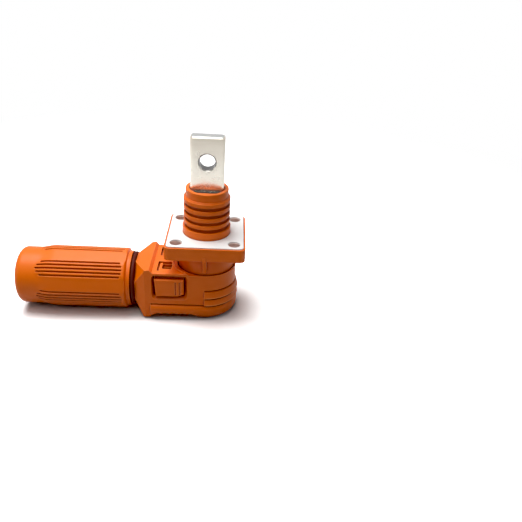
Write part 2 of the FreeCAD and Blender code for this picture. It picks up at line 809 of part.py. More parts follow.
def gland_nut():
    """Long clamping nut: round nose, six smooth flats and six bands of grooves between them."""
    nose = nut_nose_r
    outer = [(nut_start_x, nut_collar_r - 0.4), (nut_start_x - 0.4, nut_collar_r), (nut_collar_x, nut_collar_r)]
    outer += [(nut_collar_x - 0.3, nut_collar_r + 0.4), (nut_grip_x[0], nut_r), (nut_grip_x[1], nut_r)]
    for share, drop in ((0.15, 0.03), (0.35, 0.2), (0.55, 0.5), (0.75, 0.82), (1.0, 1.0)):
        x = nut_grip_x[1] + (nut_flare_x - nut_grip_x[1]) * share
        outer.append((x, nut_r - (nut_r - nose) * drop))
    for step in range(7):
        angle = math.radians(15.0 * step)
        x = nut_end_x + nut_end_round * (1 - math.sin(angle))
        outer.append((x, nose - nut_end_round * (1 - math.cos(angle))))
    inner = [(nut_end_x, nut_mouth_r + 0.8), (nut_end_x + 0.8, nut_mouth_r), (nut_mouth_x, nut_mouth_r)]
    inner += [(nut_cone_x, nut_cone_r), (spigot_end_x - 4.0, nut_cone_r), (spigot_end_x - 4.0, spigot_r + fit_gap)]
    inner += [(nut_start_x, spigot_r + fit_gap)]
    nut = turned_about_cable(outer + inner)
    return nut.cut(nut_flats() + nut_grooves()).removeSplitter()


def nut_flats():
    """Blocks that plane the six smooth flats."""
    reach = nut_r * math.cos(math.radians(15.0))
    blocks = []
    for index in range(nut_bands):
        block = box((nut_flare_x - 3.0, nut_grip_x[0]), (-nut_r, nut_r), (cable_z + reach, cable_z + nut_r + 2))
        block.rotate(V(0, 0, cable_z), V(1, 0, 0), nut_turn + 60.0 * index)
        blocks.append(block)
    return blocks


def nut_grooves():
    """Round-bottomed grooves in the bands between the flats."""
    rods = []
    for index in range(nut_bands):
        for place in range(band_grooves):
            offset = (place - (band_grooves - 1) / 2) * groove_step
            angle = nut_turn + 30.0 + 60.0 * index + offset
            inset = 1.6 * (offset / groove_step) ** 2 / 2
            rod = lengthwise(groove_radius, nut_groove_x[1] + inset, nut_groove_x[0] - inset / 2,
                             0.0, cable_z + nut_r)
            rod.rotate(V(0, 0, cable_z), V(1, 0, 0), angle)
            rods.append(rod)
    return rods


def build():
    """Every piece by its name."""
    pieces = {"receptacle_housing": receptacle_housing(), "flange_gasket": flange_gasket()}
    corner_names = {(-1, -1): "front_left", (1, -1): "front_right", (-1, 1): "back_left", (1, 1): "back_right"}
    for x, y in bolt_places:
        key = (1 if x > 0 else -1, 1 if y > 0 else -1)
        pieces["flange_bush_" + corner_names[key]] = flange_bush(x, y)
    pieces["terminal"] = terminal()
    pieces["terminal_seal"] = terminal_seal()
    pieces["terminal_retainer"] = terminal_retainer()
    pieces["pin_guard"] = pin_guard()
    pieces["plug_housing"] = plug_housing()
    pieces["release_button"] = release_button()
    for name, x in zip(("button_spring_rear", "button_spring_front"), spring_x):
        pieces[name] = button_spring(x)
    pieces["contact_carrier"] = contact_carrier()
    pieces["mating_seal"] = mating_seal()
    pieces["socket_contact"] = socket_contact()
    pieces["crown_spring"] = crown_spring()
    pieces["contact_screw"] = contact_screw()
    pieces["crimp_terminal"] = crimp_terminal()
    pieces["gland_o_ring"] = gland_o_ring()
    pieces["cable_grommet"] = cable_grommet()
    pieces["clamp_cage"] = clamp_cage()
    pieces["gland_nut"] = gland_nut()
    return pieces


def export(pieces):
    """One STEP file for each piece."""
    os.makedirs("parts", exist_ok=True)
    for name, shape in pieces.items():
        solids = shape.Solids
        whole = solids[0] if len(solids) == 1 else Part.makeCompound(solids)
        whole.exportStep("parts/" + name + ".step")
        print(name, len(solids), "solid", round(whole.Volume, 1), "mm3", "valid", whole.isValid())


if __name__ == "__main__":
    export(build())
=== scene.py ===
"""Looks of a right-angle locking power plug that is mated with its square-flange panel receptacle.

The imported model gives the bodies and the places; this file dresses its nodes, builds the finer pieces
that stand for them, and sets the studio round the object. Lengths are in millimetres until a mesh is
made, and the frame is the part's own: +Z along the receptacle, -X along the cable, -Y to the button.
"""
from __future__ import annotations

import json
import logging
import math
from dataclasses import dataclass, replace
from enum import Enum
from typing import Iterable, Sequence

import bmesh
import bpy
from mathutils import Matrix, Vector

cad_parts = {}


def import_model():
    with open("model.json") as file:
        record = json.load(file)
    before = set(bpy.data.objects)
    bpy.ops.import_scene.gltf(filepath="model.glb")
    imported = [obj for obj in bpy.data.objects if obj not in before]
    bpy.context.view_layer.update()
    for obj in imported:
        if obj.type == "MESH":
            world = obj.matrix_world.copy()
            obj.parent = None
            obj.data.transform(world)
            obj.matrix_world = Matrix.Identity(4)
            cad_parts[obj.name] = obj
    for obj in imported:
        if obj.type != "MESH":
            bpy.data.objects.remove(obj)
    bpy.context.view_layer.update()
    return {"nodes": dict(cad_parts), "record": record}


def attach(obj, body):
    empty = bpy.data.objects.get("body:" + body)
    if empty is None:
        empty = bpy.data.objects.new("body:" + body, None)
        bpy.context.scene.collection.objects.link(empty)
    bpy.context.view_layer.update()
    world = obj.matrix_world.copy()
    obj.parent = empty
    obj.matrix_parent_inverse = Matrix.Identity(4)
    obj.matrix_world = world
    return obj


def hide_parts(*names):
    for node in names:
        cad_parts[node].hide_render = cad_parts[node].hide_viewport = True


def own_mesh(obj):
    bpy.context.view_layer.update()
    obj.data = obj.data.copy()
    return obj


LOG = logging.getLogger("connector")
MM = 0.001
MM_IN_METRE = 1000.0
IMAGE_SIDE = 522

# Looks that several finishes share
FLOW_SHARE = 0.7
SMEARED = (0.48, 0.72)
EDGE_SAMPLES = 6
# Ranges of the painted highlight on outer edges and thin walls, and of the painted shade in inner corners and
# deep pits
TURNED_EDGE = (0.995, 0.86)
THIN_WALL = (0.94, 0.64)
INNER_CORNER = (0.86, 0.38)
DEEP_PIT = (0.55, 0.15)
PIT_REACH = 3.0
PLASTIC_LOSS = 0.25
METAL_LOSS = 0.3
GRAIN_STRENGTH = 0.35
LINE_STRENGTH = 0.4

# Mesh making: angles in degrees, lengths in millimetres, shares of the nut's form
SHARP_FROM = 38.0
BEVEL_FROM = 20.0
WELD = 0.001
CORNER_LEAST = 0.12
CORNER_SHARE = 0.45
FLARE_SHARE = (0.2, 0.8)
HIGH_END_SHARE = 0.4
OUTER_SHARE = 0.86

Point = tuple[float, float, float]
Spot = tuple[float, float]
Colour = tuple[float, float, float]
Socket = bpy.types.NodeSocket
Node = bpy.types.Node
Tree = bpy.types.NodeTree
Mesh = bpy.types.Mesh


class Body(Enum):
    """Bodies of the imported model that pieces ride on."""

    RECEPTACLE = "receptacle"
    PLUG = "plug"
    BUTTON = "button"
    CAGE = "cage"
    NUT = "nut"


class Axis(Enum):
    """Axes that a turned piece can stand on."""

    UPRIGHT = "upright"
    CABLE = "cable"


class Wiring:
    """Short hand for building one node tree."""

    def __init__(self, tree: Tree) -> None:
        """Keeps the tree that the nodes go into."""
        self.tree = tree

    def node(self, kind: str, **settings: object) -> Node:
        """Adds a node and sets its properties.

        Args:
            kind: Blender's identifier of the node.
            settings: properties of the node by name.

        Returns:
            The new node.
        """
        made = self.tree.nodes.new(kind)
        for name, value in settings.items():
            setattr(made, name, value)
        return made

    def join(self, source: Socket, target: Socket) -> None:
        """Links two sockets."""
        self.tree.links.new(source, target)

    def feed(self, node: Node, **values: object) -> Node:
        """Sets or links inputs of a node by name; underscores stand for spaces.

        Args:
            node: the node whose inputs are meant.
            values: a socket to link, or a plain value, for each input.

        Returns:
            The same node.
        """
        for name, value in values.items():
            label = name.replace("_", " ")
            socket = next(entry for entry in node.inputs if entry.name == label and entry.enabled)
            if isinstance(value, Socket):
                self.join(value, socket)
            else:
                socket.default_value = value
        return node

    def math(self, operation: str, *terms: object) -> Socket:
        """Adds a Math node.

        Args:
            operation: Blender's name of the operation.
            terms: sockets or numbers, in order.

        Returns:
            The result's socket.
        """
        made = self.node("ShaderNodeMath", operation=operation)
        self.place_terms(made, terms)
        return made.outputs[0]

    def times(self, first: object, second: object) -> Socket:
        """Product of two sockets or numbers."""
        return self.math("MULTIPLY", first, second)

    def plus(self, first: object, second: object) -> Socket:
        """Sum of two sockets or numbers."""
        return self.math("ADD", first, second)

    def minus(self, first: object, second: object) -> Socket:
        """What is left of the first after the second is taken off."""
        return self.math("SUBTRACT", first, second)

    def over(self, first: object, second: object) -> Socket:
        """The first divided by the second."""
        return self.math("DIVIDE", first, second)

    def vector_math(self, operation: str, *terms: object) -> Node:
        """Adds a Vector Math node.

        Args:
            operation: Blender's name of the operation.
            terms: sockets or vectors, in order.

        Returns:
            The node, because some operations put out a vector and some a value.
        """
        made = self.node("ShaderNodeVectorMath", operation=operation)
        self.place_terms(made, terms)
        return made

    def place_terms(self, made: Node, terms: Sequence[object]) -> None:
        """Sets or links the first inputs of a node in order."""
        for index, term in enumerate(terms):
            if isinstance(term, Socket):
                self.join(term, made.inputs[index])
            else:
                made.inputs[index].default_value = term

    def blend(self, share: object, first: object, second: object) -> Socket:
        """Mixes two colours.

        Args:
            share: how much of the second colour, a socket or a number.
            first: a colour, or its socket.
            second: a colour, or its socket.

        Returns:
            The mixed colour's socket.
        """
        made = self.node("ShaderNodeMix", data_type="RGBA")
        for place, value in ((0, share), (6, first), (7, second)):
            if isinstance(value, Socket):
                self.join(value, made.inputs[place])
            else:
                made.inputs[place].default_value = value if place == 0 else (*value, 1.0)
        return made.outputs[2]

    def vector(self, x: object = 0.0, y: object = 0.0, z: object = 0.0) -> Socket:
        """Adds a Combine XYZ node and gives back its vector."""
        made = self.node("ShaderNodeCombineXYZ")
        self.place_terms(made, (x, y, z))
        return made.outputs[0]

    def parts(self, vector: Socket) -> list[Socket]:
        """Splits a vector into its X, Y and Z."""
        made = self.node("ShaderNodeSeparateXYZ")
        self.join(vector, made.inputs[0])
        return [made.outputs[axis] for axis in "XYZ"]

    def place(self) -> Socket:
        """Gives the object coordinates of the shaded point."""
        return self.node("ShaderNodeTexCoord").outputs["Object"]

    def group(self, tree: Tree, **values: object) -> Node:
        """Adds a shader group and sets its inputs by name."""
        return self.feed(self.node("ShaderNodeGroup", node_tree=tree), **values)

    def noise(self, place: Socket, scale: object, detail: float, roughness: float = 0.5) -> Socket:
        """Adds a noise texture.

        Args:
            place: coordinates of the noise.
            scale: a socket or a number.
            detail: octaves of finer noise.
            roughness: strength of the finer noise.

        Returns:
            The noise value's socket.
        """
        made = self.node("ShaderNodeTexNoise")
        self.feed(made, Vector=place, Scale=scale, Detail=detail, Roughness=roughness)
        return made.outputs["Fac"]

    def ramp(self, value: Socket, low: object, high: object, to_low: object = 0.0,
             to_high: object = 1.0, **settings: object) -> Socket:
        """Maps a value from one range to another and holds it at both ends.

        Args:
            value: the value's socket.
            low: value that gives the first result.
            high: value that gives the second result.
            to_low: first result.
            to_high: second result.
            settings: properties of the node by name.

        Returns:
            The result's socket.
        """
        made = self.node("ShaderNodeMapRange", **settings)
        self.feed(made, Value=value, From_Min=low, From_Max=high, To_Min=to_low, To_Max=to_high)
        return made.outputs["Result"]


class ShaderGroups:
    """The shader effects that several finishes share, each built once as a node group."""

    def __init__(self) -> None:
        """Builds every group."""
        self.grain = self.mould_grain()
        self.brushing = self.brushed_lines()
        self.handling = self.handling_marks()
        self.edges = self.edge_normal_and_painted_light()

    @staticmethod
    def start(name: str, inputs: Iterable[tuple[str, float]],
              outputs: Iterable[str]) -> tuple[Tree, Wiring, Node, Node]:
        """Makes an empty group with float inputs and outputs.

        Args:
            name: the group's name.
            inputs: name and default of each input.
            outputs: names of the outputs.

        Returns:
            The tree, its wiring, and its input and output nodes.
        """
        tree = bpy.data.node_groups.new(name, "ShaderNodeTree")
        for label, default in inputs:
            socket = tree.interface.new_socket(label, in_out="INPUT", socket_type="NodeSocketFloat")
            socket.default_value = default
        for label in outputs:
            tree.interface.new_socket(label, in_out="OUTPUT", socket_type="NodeSocketFloat")
        wiring = Wiring(tree)
        return tree, wiring, wiring.node("NodeGroupInput"), wiring.node("NodeGroupOutput")

    def mould_grain(self) -> Tree:
        """Spark-eroded texture of a mould with slow flow variation: height and a light-dark mask."""
        tree, w, given, result = self.start(
            "mould grain", [("Grain size", 0.35), ("Flow size", 9.0)], ["Height", "Mask"]
        )
        place = w.place()
        fine = w.noise(place, w.over(MM_IN_METRE, given.outputs["Grain size"]), 3.0, 0.55)
        flow = w.noise(place, w.over(MM_IN_METRE, given.outputs["Flow size"]), 2.0)
        w.join(fine, result.inputs["Height"])
        mixed = w.math("MULTIPLY_ADD", flow, FLOW_SHARE, w.times(fine, 1 - FLOW_SHARE))
        w.join(mixed, result.inputs["Mask"])
        return tree

    def brushed_lines(self) -> Tree:
        """Long fine lines of a brushed or turned metal: height and a mask."""
        tree, w, given, result = self.start(
            "brushed lines", [("Line width", 0.12), ("Line length", 14.0)], ["Height", "Mask"]
        )
        x, y, z = w.parts(w.place())
        fine = w.over(MM_IN_METRE, given.outputs["Line width"])
        slow = w.over(MM_IN_METRE, given.outputs["Line length"])
        place = w.vector(w.times(x, slow), w.times(y, fine), w.times(z, fine))
        lines = w.noise(place, 1.0, 4.0, 0.6)
        for label in ("Height", "Mask"):
            w.join(lines, result.inputs[label])
        return tree

    def handling_marks(self) -> Tree:
        """Faint smears and dust from handling, as a mask from 0 to 1."""
        tree, w, given, result = self.start(
            "handling marks", [("Patch size", 6.0), ("Amount", 0.3)], ["Mask"]
        )
        patch = w.noise(w.place(), w.over(MM_IN_METRE, given.outputs["Patch size"]), 5.0, 0.7)
        smear = w.ramp(patch, *SMEARED)
        w.join(w.times(smear, given.outputs["Amount"]), result.inputs["Mask"])
        return tree

    @staticmethod
    def closeness(w: Wiring, reach: Socket, times: float = 1.0, **settings: object) -> Socket:
        """Adds an Ambient Occlusion node.

        Args:
            w: wiring of the group.
            reach: how far it looks, in millimetres.
            times: factor on the reach.
            settings: properties of the node by name.

        Returns:
            The socket that falls from 1 to 0 as surfaces close in.
        """
        made = w.node("ShaderNodeAmbientOcclusion", samples=EDGE_SAMPLES, **settings)
        w.join(w.times(reach, times * MM), made.inputs["Distance"])
        return made.outputs["AO"]

    def edge_normal_and_painted_light(self) -> Tree:
        """Rounded look of an edge: its normal, a mask of outer edges and thin walls for a painted highlight,
        and a mask of inner corners and deep pits for painted shade.
        """
        tree, w, given, result = self.start(
            "edge rub", [("Radius", 0.3), ("Reach", 0.4), ("Depth", 2.4)], ["Mask", "Hollow"]
        )
        tree.interface.new_socket("Normal", in_out="OUTPUT", socket_type="NodeSocketVector")
        radius, reach, depth = (given.outputs[label] for label in ("Radius", "Reach", "Depth"))
        soft = w.node("ShaderNodeBevel", samples=EDGE_SAMPLES)
        w.join(w.times(radius, MM), soft.inputs["Radius"])
        true = w.node("ShaderNodeNewGeometry").outputs["Normal"]
        likeness = w.vector_math("DOT_PRODUCT", soft.outputs[0], true).outputs["Value"]
        # Painted highlight on outer edges, where the rounded normal turns from the true one; kept off inner
        # corners below
        turned = w.ramp(likeness, *TURNED_EDGE)
        # Painted highlight on thin walls and rims, found by looking inside the surface
        slim = w.ramp(self.closeness(w, reach, inside=True), *THIN_WALL)
        proud = w.times(slim, w.math("GREATER_THAN", reach, 0.0))
        # Painted shade in inner corners and in deep pits, found by occlusion
        corner = w.ramp(self.closeness(w, depth), *INNER_CORNER)
        pit = w.ramp(self.closeness(w, depth, PIT_REACH), *DEEP_PIT)
        painted_shade_mask = w.math("MAXIMUM", corner, pit)
        w.join(w.times(painted_shade_mask, w.minus(1.0, proud)), result.inputs["Hollow"])
        open_turn = w.times(turned, w.minus(1.0, painted_shade_mask))
        w.join(w.math("MAXIMUM", open_turn, proud), result.inputs["Mask"])
        w.join(soft.outputs[0], result.inputs["Normal"])
        return tree


def new_material(name: str) -> tuple[bpy.types.Material, Wiring, Node]:
    """Makes a material with a Principled shader, and gives its wiring and the shader too."""
    material = bpy.data.materials.new(name)
    material.use_nodes = True
    return material, Wiring(material.node_tree), material.node_tree.nodes["Principled BSDF"]


def wear_gloss(w: Wiring, shader: Node, groups: ShaderGroups, marks: float, roughness: float,
               loss: float) -> None:
    """Lets handling marks dull the gloss of a shader.

    Args:
        w: wiring of the material.
        shader: the Principled shader.
        groups: the shared shader groups.
        marks: amount of the marks.
        roughness: roughness of the clean surface.
        loss: roughness that the marks add.
    """
    mask = w.group(groups.handling, Amount=marks).outputs["Mask"]
    w.join(w.ramp(mask, 0.0, 1.0, roughness, min(1.0, roughness + loss)), shader.inputs["Roughness"])


@dataclass(frozen=True)
class Plastic:
    """A moulded plastic or rubber finish."""

    name: str
    slot: str
    lit: Colour
    deep: Colour
    roughness: float = 0.45
    grain_size: float = 0.35
    grain_height: float = 0.02
    marks: float = 0.25
    edge: float = 0.0
    reach: float = 0.4
    # Painted highlight on outer edges and thin rims, and painted shade in inner corners and pits: their
    # colours and strengths
    painted_highlight_tone: Colour = (1.0, 0.36, 0.10)
    painted_edge_light: float = 0.6
    painted_shade_tone: Colour = (0.20, 0.02, 0.001)
    painted_shade: float = 0.85
    specular: float = 0.5

    def make(self, groups: ShaderGroups) -> bpy.types.Material:
        """Builds the material.

        Args:
            groups: the shared shader groups.

        Returns:
            The finished material.
        """
        material, w, shader = new_material(self.name)
        grain = w.group(groups.grain, Grain_size=self.grain_size)
        tone = w.blend(grain.outputs["Mask"], self.deep, self.lit)
        wear_gloss(w, shader, groups, self.marks, self.roughness, PLASTIC_LOSS)
        bump = w.node("ShaderNodeBump")
        w.feed(bump, Strength=GRAIN_STRENGTH, Distance=self.grain_height * MM, Height=grain.outputs["Height"])
        if self.edge > 0:
            painted_edge_light = w.group(groups.edges, Radius=self.edge, Reach=self.reach)
            w.join(painted_edge_light.outputs["Normal"], bump.inputs["Normal"])
            # Painted highlight on the edges, then painted shade in the corners and pits
            tone = w.blend(w.times(painted_edge_light.outputs["Mask"], self.painted_edge_light), tone, self.painted_highlight_tone)
            tone = w.blend(w.times(painted_edge_light.outputs["Hollow"], self.painted_shade), tone, self.painted_shade_tone)
        w.join(tone, shader.inputs["Base Color"])
        w.join(bump.outputs["Normal"], shader.inputs["Normal"])
        shader.inputs["Specular IOR Level"].default_value = self.specular
        return material


@dataclass(frozen=True)
class Metal:
    """A machined, plated or stamped metal finish."""

    name: str
    slot: str
    bright: Colour
    dull: Colour
    roughness: float = 0.3
    line_width: float = 0.12
    line_length: float = 14.0
    line_height: float = 0.01
    marks: float = 0.3
    edge: float = 0.0
    shine: float = 1.0

    def make(self, groups: ShaderGroups) -> bpy.types.Material:
        """Builds the material.

        Args:
            groups: the shared shader groups.

        Returns:
            The finished material.
        """
        material, w, shader = new_material(self.name)
        shader.inputs["Metallic"].default_value = self.shine
        lines = w.group(groups.brushing, Line_width=self.line_width, Line_length=self.line_length)
        tone = w.blend(lines.outputs["Mask"], self.dull, self.bright)
        # Stains and painted shade of the finish, each mixed over the tone
        for mask, shade in self.stains_and_painted_shade(w):
            tone = w.blend(mask, tone, shade)
        w.join(tone, shader.inputs["Base Color"])
        wear_gloss(w, shader, groups, self.marks, self.roughness, METAL_LOSS)
        bump = w.node("ShaderNodeBump")
        w.feed(bump, Strength=LINE_STRENGTH, Distance=self.line_height * MM, Height=lines.outputs["Height"])
        if self.edge > 0:
            painted_edge_light = w.group(groups.edges, Radius=self.edge)
            w.join(painted_edge_light.outputs["Normal"], bump.inputs["Normal"])
        w.join(bump.outputs["Normal"], shader.inputs["Normal"])
        return material

    def stains_and_painted_shade(self, w: Wiring) -> list[tuple[Socket, Colour]]:
        """Masks and colours of stains and painted shade, none on a plain metal."""
        return []


@dataclass(frozen=True)
class PlatedBlade(Metal):
    """Tin plating of the terminal: a machined eye with turning marks, a scuffed ring where a bolt sat, and
    painted shade in the eye, round its chamfer, on the shoulder, on the top end and towards the top of the
    face.
    """

    eye_z: float = 43.7
    eye_r: float = 4.5
    wall_half: float = 3.1
    turn_pitch: float = 0.9
    shoulder_z: float = 26.7
    shoulder_r: float = 8.9
    ring_reach: float = 3.2
    top_z: float = 58.0
    painted_top_shade_from: float = 41.0
    painted_top_shade_end: float = 1.0
    painted_top_shade_tone: Colour = (0.66, 0.58, 0.48)
    margin: float = 0.06
    turning: tuple[float, float] = (0.22, 0.74)
    painted_bore_shade_tone: Colour = (0.07, 0.07, 0.08)
    bevel_width: float = 0.62
    bevel_share: float = 0.75
    painted_chamfer_shade_tone: Colour = (0.24, 0.23, 0.22)
    painted_shoulder_shade_tone: Colour = (0.012, 0.008, 0.006)
    scuff_scale: float = 1300.0
    scuff_range: tuple[float, float] = (0.50, 0.62)
    scuff_share: float = 0.75
    scuff_start: float = 0.6
    scuff_tone: Colour = (0.30, 0.27, 0.24)
    streak_scale: tuple[float, float] = (30.0, 420.0)
    streak_gain: tuple[float, float] = (0.9, 0.2)
    end_share: float = 0.85
    painted_end_shade_tone: Colour = (0.52, 0.54, 0.54)

    def stains_and_painted_shade(self, w: Wiring) -> list[tuple[Socket, Colour]]:
        """Masks the painted shade towards the top of the face, on the top end, in the eye and round its
        chamfer, and on the shoulder, and the scuffs round the eye.

        Args:
            w: wiring of the material.

        Returns:
            Each mask with its shade.
        """
        place = w.place()
        x, y, z = w.parts(place)
        from_eye = self.length(w, x, w.minus(z, self.eye_z * MM))
        between = self.below(w, w.math("ABSOLUTE", y), self.wall_half)
        # Painted shade on the eye's wall, broken by real turning marks
        wall = w.times(self.below(w, from_eye, self.eye_r + self.margin), between)
        turning = w.math("SINE", w.times(y, math.tau / (self.turn_pitch * MM)))
        eye = w.times(wall, w.math("MULTIPLY_ADD", turning, *self.turning))
        # Painted shade round the eye's chamfer
        bevel = w.times(self.below(w, from_eye, self.eye_r + self.bevel_width), self.bevel_share)
        # Painted shade on the shoulder's top
        inside = self.below(w, self.length(w, x, y), self.shoulder_r)
        low = w.times(self.below(w, z, self.shoulder_z + self.margin), inside)
        dots = w.ramp(w.noise(place, self.scuff_scale, 4.0, 0.7), *self.scuff_range, to_high=self.scuff_share)
        fade = w.ramp(from_eye, (self.eye_r + self.ring_reach) * MM, (self.eye_r + self.scuff_start) * MM)
        # Painted shade, darker towards the top of the face and broken by streaks
        across, up = self.streak_scale
        streak = w.noise(w.vector(w.times(x, across), 0.0, w.times(z, up)), 1.0, 2.0)
        towards_top = w.ramp(z, self.painted_top_shade_from * MM, (self.top_z - self.painted_top_shade_end) * MM)
        shade = w.times(towards_top, w.math("MULTIPLY_ADD", streak, *self.streak_gain))
        # Painted shade on the top end face
        end = w.times(w.math("GREATER_THAN", z, (self.top_z - self.margin) * MM), self.end_share)
        scuffs = w.times(dots, fade)
        return [(shade, self.painted_top_shade_tone), (end, self.painted_end_shade_tone), (scuffs, self.scuff_tone),
                (bevel, self.painted_chamfer_shade_tone), (eye, self.painted_bore_shade_tone), (low, self.painted_shoulder_shade_tone)]

    @staticmethod
    def length(w: Wiring, first: Socket, second: Socket) -> Socket:
        """Distance from two offsets at right angles."""
        return w.math("SQRT", w.plus(w.times(first, first), w.times(second, second)))

    @staticmethod
    def below(w: Wiring, value: Socket, limit: float) -> Socket:
        """Gives 1 where a value is under a limit in millimetres, and 0 elsewhere."""
        return w.math("LESS_THAN", value, limit * MM)


ORANGE = Plastic("orange moulded plastic", "orange_plastic", (0.92, 0.176, 0.004), (0.86, 0.156, 0.003),
                 roughness=0.40, marks=0.2, edge=0.3, specular=0.3)
FINISHES: tuple[Plastic | Metal, ...] = (
    ORANGE,
    Plastic("white silicone", "white_silicone", (0.95, 0.95, 0.94), (0.91, 0.91, 0.90), roughness=0.5,
            grain_size=0.2),
    Plastic("black moulded plastic", "black_plastic", (0.018, 0.018, 0.018), (0.012, 0.012, 0.012)),
    Plastic("black rubber", "black_rubber", (0.015, 0.015, 0.015), (0.01, 0.01, 0.01), roughness=0.6),
    Plastic("dark red silicone", "red_rubber", (0.11, 0.012, 0.006), (0.08, 0.009, 0.005), roughness=0.6,
            specular=0.2),
    PlatedBlade("tinned copper", "tinned_copper", (0.98, 0.94, 0.84), (0.93, 0.88, 0.77), roughness=0.22,
                edge=0.3, shine=0.8, line_height=0.004),
    Metal("silvered copper", "silvered_copper", (0.86, 0.84, 0.80), (0.74, 0.72, 0.68), roughness=0.25),
    Metal("spring bronze", "spring_bronze", (0.78, 0.62, 0.38), (0.66, 0.50, 0.30)),
    Metal("bush steel", "bush_steel", (0.80, 0.64, 0.58), (0.66, 0.52, 0.47), roughness=0.45, shine=0.7),
    Metal("zinc-plated steel", "zinc_steel", (0.70, 0.71, 0.72), (0.58, 0.59, 0.60)),
    Metal("spring steel", "spring_steel", (0.48, 0.48, 0.48), (0.38, 0.38, 0.38)),
)


class Finishes:
    """All materials, looked up by the record's slot name."""

    def __init__(self) -> None:
        """Builds the shader groups and every material."""
        groups = ShaderGroups()
        self.by_slot = {finish.slot: finish.make(groups) for finish in FINISHES}
        # The lapped shells get no painted highlight on thin walls, since they reach into each other
        self.lapped = replace(ORANGE, name="orange plastic of lapped shells", reach=0.0).make(groups)

    def dress(self, piece: bpy.types.Object, slot: str) -> None:
        """Gives a piece the finish of a slot in place of whatever it has."""
        piece.data.materials.clear()
        piece.data.materials.append(self.by_slot[slot])


def rounded_corners(points: Sequence[Spot], radius: float, steps: int = 3,
                    keep: Iterable[int] = ()) -> list[Spot]:
    """Rounds the corners of a closed outline.

    Args:
        points: corners of the outline, in order.
        radius: radius of each corner, cut down where the sides are short.
        steps: straight runs in each rounded corner.
        keep: places of corners that stay sharp.

    Returns:
        The outline with an arc in place of each corner.
    """
    outline: list[Spot] = []
    sharp = set(keep)
    for index, corner in enumerate(points):
        here = Vector(corner)
        before = Vector(points[index - 1]) - here
        after = Vector(points[(index + 1) % len(points)]) - here
        turn = math.pi - before.angle(after)
        if index in sharp or turn < CORNER_LEAST:
            outline.append(corner)
            continue
        most = min(before.length * CORNER_SHARE, after.length * CORNER_SHARE)
        reach = min(radius * math.tan(turn / 2), most)
        first = here + before.normalized() * reach
        last = here + after.normalized() * reach
        for step in range(steps + 1):
            share = step / steps
            spot = first * (1 - share) ** 2 + here * 2 * share * (1 - share) + last * share ** 2
            outline.append((spot.x, spot.y))
    return outline


def rounded_square(half: float, corner: float, steps: int = 8) -> list[Spot]:
    """Outline of a square with round corners, about the origin."""
    outline = []
    for quarter, (sx, sy) in enumerate(((1, 1), (-1, 1), (-1, -1), (1, -1))):
        for step in range(steps + 1):
            angle = math.radians(90 * (quarter + step / steps))
            x = sx * (half - corner) + corner * math.cos(angle)
            outline.append((x, sy * (half - corner) + corner * math.sin(angle)))
    return outline


def arc(radius: float, first: float, last: float, height: float, steps: int = 72) -> list[Point]:
    """Points of a level arc about the upright axis, from one angle to the other."""
    turns = (first + (last - first) * step / steps for step in range(steps + 1))
    return [(radius * math.cos(turn), radius * math.sin(turn), height) for turn in turns]


def stand(name: str, data: bpy.types.ID) -> bpy.types.Object:
    """Links a new object that holds the data."""
    made = bpy.data.objects.new(name, data)
    bpy.context.scene.collection.objects.link(made)
    return made


def evaluated(piece: bpy.types.Object) -> Mesh:
    """Gives an object's mesh as its modifiers or curve settings make it."""
    graph = bpy.context.evaluated_depsgraph_get()
    graph.update()
    return bpy.data.meshes.new_from_object(piece.evaluated_get(graph), depsgraph=graph)


def circle(radius: float, centre: Spot = (0.0, 0.0), steps: int = 48) -> list[Spot]:
    """Outline of a circle."""
    turns = (math.tau * step / steps for step in range(steps))
    return [(centre[0] + radius * math.cos(turn), centre[1] + radius * math.sin(turn)) for turn in turns]


